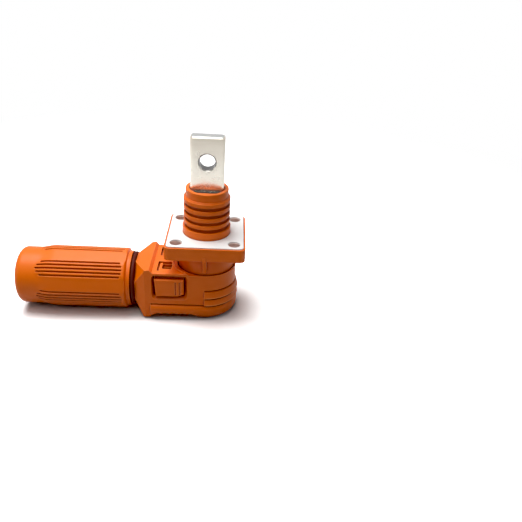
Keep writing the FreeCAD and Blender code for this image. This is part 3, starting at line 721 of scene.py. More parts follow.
class Trees:
    """Geometry Nodes trees for the forms that are turned, repeated or coiled."""

    def __init__(self) -> None:
        """Builds each tree once."""
        self.turned = self.turned_form()
        self.grooved = self.grooved_nut()
        self.repeated = self.turned_on_points()
        self.coil = self.coiled_wire()

    @staticmethod
    def start(name: str, inputs: Iterable[tuple[str, str, object]]) -> tuple[Tree, Wiring, Node, Node]:
        """Makes an empty tree that takes a mesh and gives one back.

        Args:
            name: the tree's name.
            inputs: name, kind and default of each further input.

        Returns:
            The tree, its wiring, and its input and output nodes.
        """
        tree = bpy.data.node_groups.new(name, "GeometryNodeTree")
        tree.interface.new_socket("Geometry", in_out="INPUT", socket_type="NodeSocketGeometry")
        for label, kind, default in inputs:
            socket = tree.interface.new_socket(label, in_out="INPUT", socket_type="NodeSocket" + kind)
            if default is not None:
                socket.default_value = default
        tree.interface.new_socket("Geometry", in_out="OUTPUT", socket_type="NodeSocketGeometry")
        wiring = Wiring(tree)
        return tree, wiring, wiring.node("NodeGroupInput"), wiring.node("NodeGroupOutput")

    @staticmethod
    def sweep(w: Wiring, given: Node) -> tuple[Node, Socket, Socket]:
        """Lays out a grid with a column for each step round the axis and a row for each profile point.

        Args:
            w: wiring of the tree.
            given: the tree's input node, with Geometry, Around and Rows.

        Returns:
            The grid node, the profile point of each grid point, and its angle.
        """
        grid = w.node("GeometryNodeMeshGrid")
        columns = w.plus(given.outputs["Around"], 1.0)
        w.feed(grid, Vertices_X=columns, Vertices_Y=given.outputs["Rows"])
        index = w.node("GeometryNodeInputIndex").outputs[0]
        row = w.math("MODULO", index, given.outputs["Rows"])
        column = w.math("FLOOR", w.over(w.plus(index, 0.5), given.outputs["Rows"]))
        place = w.node("GeometryNodeInputPosition").outputs[0]
        sample = w.node("GeometryNodeSampleIndex", data_type="FLOAT_VECTOR", domain="POINT")
        w.feed(sample, Geometry=given.outputs["Geometry"], Value=place, Index=row)
        found = next(entry for entry in sample.outputs if entry.enabled)
        angle = w.times(w.over(column, given.outputs["Around"]), math.tau)
        return grid, found, angle

    @staticmethod
    def close(w: Wiring, grid: Node, radius: Socket, height: Socket, angle: Socket) -> Socket:
        """Wraps the grid round the axis and welds its seams.

        Args:
            w: wiring of the tree.
            grid: the grid node.
            radius: distance from the axis.
            height: place along the axis.
            angle: turn about the axis.

        Returns:
            The closed mesh.
        """
        across = w.times(radius, w.math("COSINE", angle))
        back = w.times(radius, w.math("SINE", angle))
        moved = w.node("GeometryNodeSetPosition")
        w.feed(moved, Geometry=grid.outputs["Mesh"], Position=w.vector(across, back, height))
        weld = w.node("GeometryNodeMergeByDistance")
        w.feed(weld, Geometry=moved.outputs[0], Distance=2 * WELD * MM)
        return weld.outputs[0]

    @staticmethod
    def finish(w: Wiring, mesh: Socket, given: Node, result: Node) -> None:
        """Ends a tree with real geometry that has its material."""
        real = w.node("GeometryNodeRealizeInstances")
        w.join(mesh, real.inputs[0])
        dressed = w.node("GeometryNodeSetMaterial")
        w.feed(dressed, Geometry=real.outputs[0], Material=given.outputs["Material"])
        w.join(dressed.outputs[0], result.inputs[0])

    def turned_form(self) -> Tree:
        """Turns a closed profile of (radius, 0, height) points about the upright axis."""
        tree, w, given, result = self.start(
            "turned form", [("Around", "Int", 96), ("Rows", "Int", 2), ("Material", "Material", None)]
        )
        grid, point, angle = self.sweep(w, given)
        radius, _, height = w.parts(point)
        closed = self.close(w, grid, radius, height, angle)
        self.finish(w, closed, given, result)
        return tree

    @staticmethod
    def nearest(w: Wiring, angle: Socket, offset: object, span: object) -> Socket:
        """Signed angle to the nearest of the places that lie a span apart, the first at the offset."""
        shifted = w.minus(angle, offset)
        half = w.times(span, 0.5)
        return w.math("WRAP", shifted, half, w.times(half, -1.0))

    def grooved_nut(self) -> Tree:
        """Turned form whose crest has planed flats, and bands of round-ended grooves between them."""
        lengths = ("Turn", "Crest", "Nose radius", "Flare at bands", "Flare at flats", "Flare length",
                   "Flat reach", "Softness", "Step", "Groove half", "Groove depth", "Low end", "High end",
                   "End shift")
        tree, w, given, result = self.start(
            "grooved nut",
            [("Around", "Int", 480), ("Rows", "Int", 2), ("Flats", "Int", 6), ("Grooves", "Int", 5)]
            + [(label, "Float", 0.0) for label in lengths] + [("Material", "Material", None)]
        )
        take = given.outputs
        grid, point, angle = self.sweep(w, given)
        radius, _, height = w.parts(point)
        span = w.over(math.tau, take["Flats"])
        from_flat = self.nearest(w, angle, take["Turn"], span)
        share = w.over(w.math("ABSOLUTE", from_flat), w.times(span, 0.5))
        aside = w.ramp(share, *FLARE_SHARE, take["Flare at flats"], take["Flare at bands"],
                       interpolation_type="SMOOTHSTEP")
        plane = w.over(take["Flat reach"], w.math("COSINE", from_flat))
        full = w.math("SMOOTH_MIN", take["Crest"], plane, take["Softness"])
        rise = w.ramp(height, aside, w.plus(aside, take["Flare length"]), take["Nose radius"], full,
                      interpolation_type="SMOOTHSTEP")
        planed = w.math("MINIMUM", radius, rise)
        middle = w.plus(take["Turn"], w.times(span, 0.5))
        band = self.nearest(w, angle, middle, span)
        most = w.times(w.minus(take["Grooves"], 1.0), 0.5)
        number = w.math("ROUND", w.over(band, take["Step"]))
        number = w.math("MAXIMUM", w.math("MINIMUM", number, most), w.times(most, -1.0))
        turned_off = w.minus(band, w.times(number, take["Step"]))
        off = w.times(turned_off, take["Crest"])
        inset = w.times(w.times(number, number), take["End shift"])
        half = take["Groove half"]
        low = w.plus(w.plus(take["Low end"], inset), half)
        high_inset = w.times(inset, HIGH_END_SHARE)
        high = w.minus(w.minus(take["High end"], high_inset), half)
        past = w.math("MAXIMUM", w.minus(low, height), w.minus(height, high))
        beyond = w.math("MAXIMUM", past, 0.0)
        away = w.plus(w.times(off, off), w.times(beyond, beyond))
        filled = w.math("MINIMUM", w.over(away, w.times(half, half)), 1.0)
        sunk = w.times(take["Groove depth"], w.minus(1.0, filled))
        outer = w.math("GREATER_THAN", radius, w.times(take["Crest"], OUTER_SHARE))
        outside = w.times(w.minus(planed, sunk), outer)
        turned = w.plus(outside, w.times(radius, w.minus(1.0, outer)))
        self.finish(w, self.close(w, grid, turned, height, angle), given, result)
        return tree

    def turned_on_points(self) -> Tree:
        """Repeats one turned form at the four corners of a square."""
        tree, w, given, result = self.start(
            "turned form on a square",
            [("Around", "Int", 48), ("Rows", "Int", 2), ("Spacing", "Float", 0.033),
             ("Material", "Material", None)]
        )
        single = w.node("GeometryNodeGroup", node_tree=self.turned)
        w.feed(single, Geometry=given.outputs["Geometry"], Around=given.outputs["Around"],
               Rows=given.outputs["Rows"], Material=given.outputs["Material"])
        corners = w.node("GeometryNodeMeshGrid")
        spacing = given.outputs["Spacing"]
        w.feed(corners, Size_X=spacing, Size_Y=spacing, Vertices_X=2, Vertices_Y=2)
        placed = w.node("GeometryNodeInstanceOnPoints")
        w.feed(placed, Points=corners.outputs["Mesh"], Instance=single.outputs[0])
        self.finish(w, placed.outputs[0], given, result)
        return tree

    def coiled_wire(self) -> Tree:
        """Round wire wound into an upright coil."""
        tree, w, given, result = self.start(
            "coiled wire",
            [("Turns", "Float", 4.0), ("Coil radius", "Float", 0.002), ("Length", "Float", 0.006),
             ("Wire radius", "Float", 0.00025), ("Material", "Material", None)]
        )
        spiral = w.node("GeometryNodeCurveSpiral")
        coil = given.outputs["Coil radius"]
        w.feed(spiral, Resolution=40, Rotations=given.outputs["Turns"], Start_Radius=coil, End_Radius=coil,
               Height=given.outputs["Length"])
        section = w.node("GeometryNodeCurvePrimitiveCircle")
        w.feed(section, Resolution=10, Radius=given.outputs["Wire radius"])
        wire = w.node("GeometryNodeCurveToMesh")
        w.feed(wire, Curve=spiral.outputs[0], Profile_Curve=section.outputs[0], Fill_Caps=True)
        self.finish(w, wire.outputs[0], given, result)
        return tree


class Workshop:
    """Turns profiles, outlines and trees into finished meshes, and puts the pieces into the scene."""

    def __init__(self, finishes: Finishes) -> None:
        """Keeps the finishes and builds the trees."""
        self.finishes = finishes
        self.trees = Trees()

    @staticmethod
    def settled(work: bpy.types.Object) -> Mesh:
        """Takes the evaluated mesh of a work object and removes the object.

        Args:
            work: object whose modifiers or curve settings make the shape.

        Returns:
            A plain mesh.
        """
        mesh = evaluated(work)
        bpy.data.objects.remove(work)
        return mesh

    def grown(self, tree: Tree, base: Mesh, slot: str, **inputs: object) -> Mesh:
        """Runs a Geometry Nodes tree on a mesh.

        Args:
            tree: the tree.
            base: mesh that the tree starts from.
            slot: slot whose finish the tree sets.
            inputs: the tree's inputs by name; underscores stand for spaces.

        Returns:
            The resulting plain mesh, with its faces outward.
        """
        work = stand("work", base)
        modifier = work.modifiers.new("form", "NODES")
        modifier.node_group = tree
        values = {name.replace("_", " "): value for name, value in inputs.items()}
        values["Material"] = self.finishes.by_slot[slot]
        for socket in tree.interface.items_tree:
            if socket.in_out == "INPUT" and socket.name in values:
                modifier[socket.identifier] = values[socket.name]
        return self.outward(self.settled(work))

    @staticmethod
    def outward(mesh: Mesh) -> Mesh:
        """Welds doubles, drops loose slivers and points the faces out."""
        work = bmesh.new()
        work.from_mesh(mesh)
        bmesh.ops.remove_doubles(work, verts=work.verts, dist=WELD * MM)
        bmesh.ops.dissolve_degenerate(work, edges=work.edges, dist=WELD / 2 * MM)
        bmesh.ops.recalc_face_normals(work, faces=work.faces)
        work.to_mesh(mesh)
        work.free()
        return mesh

    def turned(self, profile: Sequence[Spot], slot: str, axis: Axis = Axis.UPRIGHT,
               around: int = 96, centre_z: float = 0.0, tree: Tree | None = None,
               **inputs: object) -> Mesh:
        """Turns a closed profile about an axis.

        Args:
            profile: (radius, place along the axis) corners in millimetres.
            slot: slot of the finish.
            axis: upright, or along the cable.
            around: steps round the axis.
            centre_z: height of the cable's axis.
            tree: another tree than the plain turned form.
            inputs: further inputs of the tree.

        Returns:
            The mesh, in place.
        """
        points = [Vector((radius, 0.0, along)) * MM for radius, along in profile]
        points.append(points[0])
        base = bpy.data.meshes.new("profile")
        base.from_pydata(points, [], [])
        chosen = tree or self.trees.turned
        mesh = self.grown(chosen, base, slot, Around=around, Rows=len(points), **inputs)
        if axis is Axis.CABLE:
            mesh.transform(Matrix(((0, 0, 1, 0), (0, -1, 0, 0), (1, 0, 0, centre_z * MM), (0, 0, 0, 1))))
        return mesh

    @staticmethod
    def thread(curve: bpy.types.Curve, path: Sequence[Point]) -> bpy.types.Spline:
        """Adds a straight-sided spline through the points, in millimetres, to a curve."""
        spline = curve.splines.new("POLY")
        spline.points.add(len(path) - 1)
        for spot, (x, y, z) in zip(spline.points, path):
            spot.co = (x * MM, y * MM, z * MM, 1.0)
        return spline

    def plate(self, outlines: Sequence[Sequence[Spot]], low: float, high: float,
              edge: float) -> Mesh:
        """Makes a flat plate with holes and rounded edges.

        Args:
            outlines: outer outline first, then the holes, in millimetres.
            low: height of the underside.
            high: height of the top.
            edge: radius of every edge.

        Returns:
            The closed mesh, in place.
        """
        curve = bpy.data.curves.new("plate", "CURVE")
        curve.dimensions = "2D"
        curve.fill_mode = "BOTH"
        curve.extrude = ((high - low) / 2 - edge) * MM
        curve.bevel_depth = edge * MM
        curve.bevel_resolution = 2
        curve.offset = -edge * MM
        for outline in outlines:
            self.thread(curve, [(x, y, 0.0) for x, y in outline]).use_cyclic_u = True
        mesh = self.outward(self.settled(stand("plate", curve)))
        mesh.transform(Matrix.Translation((0.0, 0.0, (low + high) / 2 * MM)))
        return mesh

    def prism(self, outline: Sequence[Point], reach: Point, edge: float) -> Mesh:
        """Draws a flat outline along a direction and rounds the edges.

        Args:
            outline: corners of one end, in millimetres.
            reach: the way to the other end.
            edge: radius of the edges.

        Returns:
            The closed mesh, in place.
        """
        work = bmesh.new()
        near = [work.verts.new(Vector(corner) * MM) for corner in outline]
        far = [work.verts.new((Vector(corner) + Vector(reach)) * MM) for corner in outline]
        work.faces.new(near)
        work.faces.new(far)
        for index in range(len(near)):
            work.faces.new((near[index - 1], near[index], far[index], far[index - 1]))
        bmesh.ops.recalc_face_normals(work, faces=work.faces)
        mesh = bpy.data.meshes.new("prism")
        work.to_mesh(mesh)
        work.free()
        piece = stand("prism", mesh)
        bevel = piece.modifiers.new("edges", "BEVEL")
        bevel.width = edge * MM
        bevel.segments = 3
        bevel.limit_method = "ANGLE"
        bevel.angle_limit = math.radians(BEVEL_FROM)
        return self.settled(piece)

    def bead(self, path: Sequence[Point], radius: float) -> Mesh:
        """Lays a round bead along a path, with closed ends.

        Args:
            path: points along the bead, in millimetres.
            radius: the bead's radius.

        Returns:
            The closed mesh, in place.
        """
        curve = bpy.data.curves.new("bead", "CURVE")
        curve.dimensions = "3D"
        curve.bevel_depth = radius * MM
        curve.bevel_resolution = 3
        curve.use_fill_caps = True
        self.thread(curve, path)
        return self.outward(self.settled(stand("bead", curve)))

    def assemble(self, name: str, meshes: Sequence[Mesh], slot: str, body: Body,
                 nodes: Sequence[str], lapped: bool = False) -> bpy.types.Object:
        """Joins meshes into one piece, dresses it, and puts it on its body in place of its nodes.

        Args:
            name: the piece's name.
            meshes: the parts of the moulding or set.
            slot: slot of the finish.
            body: body that the piece rides on.
            nodes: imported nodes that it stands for.
            lapped: whether it is made of shells that reach into each other.

        Returns:
            The finished piece.
        """
        whole = bmesh.new()
        for mesh in meshes:
            whole.from_mesh(mesh)
        joined = bpy.data.meshes.new(name)
        whole.to_mesh(joined)
        whole.free()
        joined.materials.clear()
        joined.materials.append(self.finishes.lapped if lapped else self.finishes.by_slot[slot])
        joined.shade_smooth()
        joined.set_sharp_from_angle(angle=math.radians(SHARP_FROM))
        for polygon in joined.polygons:
            polygon.material_index = 0
        piece = stand(name, joined)
        even = piece.modifiers.new("even shading", "WEIGHTED_NORMAL")
        even.keep_sharp = True
        piece.data = self.shaded(piece)
        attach(piece, body.value)
        if nodes:
            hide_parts(*nodes)
        return piece

    @staticmethod
    def shaded(piece: bpy.types.Object) -> Mesh:
        """Bakes the piece's shading modifiers into its mesh and removes them."""
        mesh = evaluated(piece)
        mesh.name = piece.name
        piece.modifiers.clear()
        return mesh


@dataclass
class Receptacle:
    """Flange with its pocket, ribbed shank, open lip and the shroud under the panel."""

    flange_half: float = 23.0
    flange_thick: float = 8.0
    flange_corner: float = 3.0
    rim: float = 1.0
    seat_depth: float = 0.45
    bolt_spacing: float = 33.0
    bush_r: float = 4.3
    bush_bore_r: float = 3.3
    base_r: float = 14.0
    base_top: float = 5.0
    ring_r: float = 13.45
    groove_r: float = 11.9
    ring_height: float = 2.4
    ring_pitch: float = 4.4
    first_ring: float = 7.1
    rings: int = 4
    shoulder_r: float = 12.9
    shoulder_height: float = 0.6
    lip_r: float = 12.25
    lip_height: float = 5.3
    lip_recess_r: float = 10.1
    lip_recess: float = 1.0
    bore_r: float = 9.85
    flat_half: float = 6.55
    flat_zone: float = 6.7
    shroud_r: float = 16.8
    shroud_bore_r: float = 13.6
    shroud_bottom: float = -24.0
    latch_top: float = -21.4
    latch_low: float = -23.2
    latch_depth: float = 1.0
    edge: float = 0.35
    edge_small: float = 0.28
    edge_floor: float = 0.25
    edge_shroud: float = 0.3
    edge_step: float = 0.15
    floor_lap: float = 0.65
    shank_lap: float = 1.0
    shroud_lap: float = 0.5
    lip_lap: float = 0.5
    step_lap: float = 0.2
    step_turns: int = 24
    shoulder_drop: float = 1.3
    key_half: float = 1.1
    key_edge: float = 0.5
    key_proud: float = 0.35
    key_lap: float = 1.0
    key_foot: float = 1.4
    key_heights: Point = (-5.9, -8.6, -18.7)
    gasket_gap: float = 0.1
    gasket_top: float = 0.5
    gasket_edge: float = 0.16
    bush_gap: float = 0.2
    bush_edge: float = 0.25

    def build(self, shop: Workshop) -> None:
        """Makes the moulding, its gasket and its bushes.

        Args:
            shop: the workshop that makes the meshes.
        """
        webs = [self.key_web(shop, side) for side in (-1, 1)]
        parts = self.flange(shop) + [self.shank(shop), self.shroud(shop)] + self.lip_steps(shop) + webs
        shop.assemble("receptacle_moulding", parts, "orange_plastic", Body.RECEPTACLE, ["receptacle_housing"],
                      lapped=True)
        LOG.info("receptacle moulding: %d parts", len(parts))
        self.gasket(shop)
        self.bushes(shop)

    @property
    def bolt_places(self) -> list[Spot]:
        """Centres of the four bolt holes."""
        half = self.bolt_spacing / 2
        return [(x, y) for x in (-half, half) for y in (-half, half)]

    @property
    def shank_top(self) -> float:
        """Top of the highest ring."""
        return self.first_ring + (self.rings - 1) * self.ring_pitch + self.ring_height

    def flange(self, shop: Workshop) -> list[Mesh]:
        """Slab with four holes and the thin rim round the gasket's pocket."""
        outer = rounded_square(self.flange_half, self.flange_corner)
        pocket = rounded_square(self.flange_half - self.rim, self.flange_corner - self.rim / 2)
        holes = [circle(self.bush_r, place) for place in self.bolt_places]
        bore = circle(self.bore_r, steps=96)
        sunk = rounded_square(self.flange_half - self.rim + self.floor_lap, self.flange_corner)
        floor = shop.plate([sunk, bore] + holes, -self.flange_thick, -self.seat_depth, self.edge_floor)
        rim = shop.plate([outer, pocket], -self.flange_thick, 0.0, self.edge_small)
        return [floor, rim]

    def shank(self, shop: Workshop) -> Mesh:
        """Ringed shank with the open lip, turned in one profile."""
        foot = -self.flange_thick + self.shank_lap
        corners = [(self.bore_r, foot), (self.base_r, foot)]
        corners += [(self.base_r, self.base_top), (self.groove_r, self.base_top)]
        for index in range(self.rings):
            low = self.first_ring + index * self.ring_pitch
            corners += [(self.groove_r, low), (self.ring_r, low)]
            corners += [(self.ring_r, low + self.ring_height), (self.groove_r, low + self.ring_height)]
        corners.pop()
        step = self.shank_top + self.shoulder_height
        lip_top = self.shank_top + self.lip_height
        corners += [(self.shoulder_r, self.shank_top), (self.shoulder_r, step), (self.lip_r, step)]
        corners += [(self.lip_r, lip_top), (self.lip_recess_r, lip_top)]
        recess = lip_top - self.lip_recess - self.lip_lap
        corners += [(self.lip_recess_r, recess), (self.bore_r, recess)]
        return shop.turned(rounded_corners(corners, self.edge), "orange_plastic", around=128)

    def lip_steps(self, shop: Workshop) -> list[Mesh]:
        """The two segments inside the lip that the terminal's flats fit between."""
        floor = self.shank_top + self.lip_height - self.lip_recess
        foot = self.shank_top + self.lip_height - self.shoulder_drop - self.flat_zone
        radius = self.lip_recess_r + self.step_lap
        half = math.acos(self.flat_half / radius)
        bow = arc(radius, math.pi / 2 - half, math.pi / 2 + half, foot, self.step_turns)
        steps = []
        for side in (-1, 1):
            outline = [(x, side * y, z) for x, y, z in bow]
            steps.append(shop.prism(outline, (0.0, 0.0, floor - foot), self.edge_step))
        return steps

    def shroud(self, shop: Workshop) -> Mesh:
        """Round skirt with the latch groove."""
        inner = self.shroud_r - self.latch_depth
        top = -self.flange_thick + self.shroud_lap
        corners = [(self.shroud_bore_r, top), (self.shroud_bore_r, self.shroud_bottom)]
        corners += [(self.shroud_r, self.shroud_bottom), (self.shroud_r, self.latch_low)]
        corners += [(inner, self.latch_low), (inner, self.latch_top), (self.shroud_r, self.latch_top)]
        corners.append((self.shroud_r, top))
        return shop.turned(rounded_corners(corners, self.edge_shroud), "orange_plastic", around=144)

    def key_web(self, shop: Workshop, side: int) -> Mesh:
        """Narrow web from the flange's edge down the shroud, on one side."""
        outer = side * (self.flange_half + self.key_proud)
        inner = side * (self.shroud_r - self.key_lap)
        foot = side * (self.shroud_r + self.key_foot)
        top, knee, low = self.key_heights
        corners = [(inner, top), (outer, top), (outer, knee), (foot, low), (inner, low)]
        outline = [(-self.key_half, y, z) for y, z in corners]
        return shop.prism(outline, (2 * self.key_half, 0.0, 0.0), self.key_edge)

    def gasket(self, shop: Workshop) -> None:
        """Soft sheet in the flange's pocket."""
        half = self.flange_half - self.rim - self.gasket_gap
        outlines = [rounded_square(half, self.flange_corner - self.rim / 2)]
        outlines.append(circle(self.base_r + self.gasket_gap, steps=96))
        outlines += [circle(self.bush_bore_r + self.bush_gap, place) for place in self.bolt_places]
        sheet = shop.plate(outlines, -self.seat_depth, self.gasket_top, self.gasket_edge)
        shop.assemble("gasket_sheet", [sheet], "white_silicone", Body.RECEPTACLE, ["flange_gasket"])
        LOG.info("gasket sheet")

    def bushes(self, shop: Workshop) -> None:
        """Four rolled bushes in the flange's holes."""
        corners = [(self.bush_bore_r, -self.flange_thick), (self.bush_r, -self.flange_thick)]
        corners += [(self.bush_r, -self.seat_depth), (self.bush_bore_r, -self.seat_depth)]
        profile = rounded_corners(corners, self.bush_edge)
        mesh = shop.turned(profile, "bush_steel", around=64, tree=shop.trees.repeated,
                           Spacing=self.bolt_spacing * MM)
        names = [f"flange_bush_{y}_{x}" for y in ("front", "back") for x in ("left", "right")]
        shop.assemble("bolt_bushes", [mesh], "bush_steel", Body.RECEPTACLE, names)
        LOG.info("bolt bushes: %d", len(names))


@dataclass
class MouthBead:
    """Low bead on the plug's deck, round the seat of the receptacle's shroud."""

    inner_r: float = 19.8
    outer_r: float = 20.6
    deck_half: float = 17.3
    seat: float = -20.6
    crown: float = -19.35
    edge: float = 0.14

    def build(self, shop: Workshop) -> None:
        """Draws the bead as far as the deck reaches on both sides.

        Args:
            shop: the workshop that makes the mesh.
        """
        reach = math.asin(self.deck_half / self.outer_r)
        first, last = math.pi - reach, math.pi + reach
        outline = arc(self.outer_r, first, last, self.seat) + arc(self.inner_r, last, first, self.seat)
        bead = shop.prism(outline, (0.0, 0.0, self.crown - self.seat), self.edge)
        shop.assemble("mouth_bead", [bead], "orange_plastic", Body.PLUG, [])
        LOG.info("mouth bead")


@dataclass
class RibLips:
    """Fine rolled lips along the lower edges of the two lapped ribs on the plug's round end."""

    lip_r: float = 19.42
    heights: tuple[float, float] = (-35.42, -40.42)
    bead_r: float = 0.3
    end_turn: float = 4.0

    def build(self, shop: Workshop) -> None:
        """Lays a bead on each rib's edge, from one side to the other.

        Args:
            shop: the workshop that makes the meshes.
        """
        reach = math.radians(90.0 - self.end_turn)
        lips = [shop.bead(arc(self.lip_r, -reach, reach, height), self.bead_r) for height in self.heights]
        shop.assemble("rib_lips", lips, "orange_plastic", Body.PLUG, [])
        LOG.info("rib lips: %d", len(lips))


@dataclass
class GlandNut:
    """Long clamping nut with planed flats and bands of grooves."""

    axis_z: float = -34.3
    start: float = -44.4
    end: float = -111.3
    collar_r: float = 16.8
    collar: float = -46.6
    crest: float = 18.5
    nose_r: float = 17.1
    grip_start: float = -48.8
    flare_bands: float = -101.0
    flare_flats: float = -98.0
    flare_length: float = 9.5
    groove_low: float = -99.3
    groove_high: float = -48.8
    groove_half: float = 0.62
    groove_depth: float = 1.0
    groove_step: float = 6.8
    turn: float = 16.0
    end_round: float = 3.5
    mouth_r: float = 10.2
    mouth: float = -101.0
    cone: float = -86.0
    cone_r: float = 13.0
    packing_end: float = -68.0
    bore_r: float = 13.65
    flats: int = 6
    grooves: int = 5
    around: int = 540
    collar_edge: float = 0.4
    collar_lap: float = 0.3
    bend_inset: float = 0.5
    bend_rise: float = 0.9
    bend_steps: int = 8
    nose_lap: float = 0.2
    nose_steps: int = 10
    mouth_edge: float = 0.8
    mouth_round: float = 0.25
    close_step: float = 0.22
    close_steps: int = 11
    long_steps: int = 24
    flare_step: float = 0.4
    flare_steps: int = 52
    straight_end: float = -86.0
    straight_inset: float = 3.0
    flat_turn: float = 15.0
    softness: float = 0.6
    end_shift: float = 0.68

    def profile(self) -> list[Spot]:
        """Closed (radius, place) profile, close-set where the form changes."""
        edge = self.collar_edge
        outer = [(self.collar_r - edge, self.start), (self.collar_r - edge / 4, self.start - edge / 4)]
        outer += [(self.collar_r, self.start - edge), (self.collar_r, self.collar)]
        outer.append((self.collar_r + edge, self.collar - self.collar_lap))
        bend = self.run(self.crest, self.collar_r + self.bend_rise, self.grip_start,
                        self.collar - self.bend_inset, self.bend_steps)
        outer += bend[::-1]
        outer += [(self.crest, self.grip_start - self.close_step * step)
                  for step in range(1, self.close_steps + 1)]
        first, last = self.grip_start - self.straight_inset, self.straight_end
        outer += [(self.crest, first + (last - first) * step / self.long_steps)
                  for step in range(self.long_steps + 1)]
        outer += [(self.crest, last - self.flare_step * step) for step in range(1, self.flare_steps + 1)]
        outer += [(self.nose_r, self.end + self.end_round + self.nose_lap)]
        for step in range(self.nose_steps + 1):
            angle = math.radians(90.0 / self.nose_steps * step)
            place = self.end + self.end_round * (1 - math.sin(angle))
            outer.append((self.nose_r - self.end_round * (1 - math.cos(angle)), place))
        edge, bow = self.mouth_edge, self.mouth_round
        inner = [(self.mouth_r + 2 * edge, self.end), (self.mouth_r + edge, self.end)]
        inner += [(self.mouth_r + bow, self.end + bow), (self.mouth_r, self.end + edge)]
        inner += [(self.mouth_r, self.end + 2 * edge), (self.mouth_r, self.mouth), (self.cone_r, self.cone)]
        inner += [(self.cone_r, self.packing_end), (self.bore_r, self.packing_end), (self.bore_r, self.start)]
        return outer + inner

    @staticmethod
    def run(radius_a: float, radius_b: float, place_a: float, place_b: float,
            steps: int) -> list[Spot]:
        """Soft bend between two radii, from the first place to the second."""
        found = []
        for step in range(steps + 1):
            share = step / steps
            bend = 1 - math.sqrt(max(0.0, 1 - share ** 2))
            found.append((radius_a + (radius_b - radius_a) * bend, place_a + (place_b - place_a) * share))
        return found

    def build(self, shop: Workshop) -> None:
        """Grows the nut from its rule.

        Args:
            shop: the workshop that makes the mesh.
        """
        turn = math.radians(self.turn)
        mesh = shop.turned(
            self.profile(), "orange_plastic", Axis.CABLE, around=self.around, centre_z=self.axis_z,
            tree=shop.trees.grooved, Flats=self.flats, Turn=turn, Crest=self.crest * MM,
            Nose_radius=self.nose_r * MM, Flare_at_bands=self.flare_bands * MM,
            Flare_at_flats=self.flare_flats * MM, Flare_length=self.flare_length * MM,
            Flat_reach=self.crest * math.cos(math.radians(self.flat_turn)) * MM,
            Softness=self.softness * MM, Grooves=self.grooves,
            Step=math.radians(self.groove_step), Groove_half=self.groove_half * MM,
            Groove_depth=self.groove_depth * MM, Low_end=self.groove_low * MM,
            High_end=self.groove_high * MM, End_shift=self.end_shift * MM,
        )
        shop.assemble("grooved_gland_nut", [mesh], "orange_plastic", Body.NUT, ["gland_nut"])
        LOG.info("grooved gland nut")


@dataclass
class ButtonSprings:
    """The two small coils behind the release button."""

    places: tuple[float, float] = (-26.0, -15.5)
    height: float = -30.0
    near: float = -16.1
    far: float = -10.7
    coil_r: float = 2.05
    wire_r: float = 0.25
    turns: float = 4.0
    travel: float = 2.2
    nodes: tuple[str, str] = ("button_spring_rear", "button_spring_front")

    def build(self, shop: Workshop) -> None:
        """Winds both coils between their near and far ends.

        Args:
            shop: the workshop that makes the meshes.
        """
        length = self.far - self.near
        for node, x in zip(self.nodes, self.places):
            base = bpy.data.meshes.new("start")
            base.from_pydata([(0.0, 0.0, 0.0)], [], [])
            mesh = shop.grown(shop.trees.coil, base, "spring_steel", Turns=self.turns,
                              Coil_radius=self.coil_r * MM, Length=length * MM, Wire_radius=self.wire_r * MM)
            mesh.transform(Matrix(((1, 0, 0, x * MM), (0, 0, 1, self.near * MM),
                                   (0, -1, 0, self.height * MM), (0, 0, 0, 1))))
            coil = shop.assemble(node + "_coil", [mesh], "spring_steel", Body.PLUG, [node])
            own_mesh(coil)
            LOG.info("coil %s", node)


@dataclass(frozen=True)
class SoftBox:
    """A square area light that faces the object, in millimetres and watts."""

    name: str
    place: Point
    size: float
    power: float


SOFT_BOXES = (
    SoftBox("overhead", (-170.0, 60.0, 600.0), 420.0, 4.5),
    SoftBox("front high", (-60.0, -350.0, 500.0), 350.0, 0.68),
    SoftBox("back high", (-60.0, 400.0, 500.0), 350.0, 0.45),
    SoftBox("left", (-620.0, -200.0, 260.0), 260.0, 0.38),
    SoftBox("right", (600.0, -100.0, 300.0), 300.0, 0.36),
)


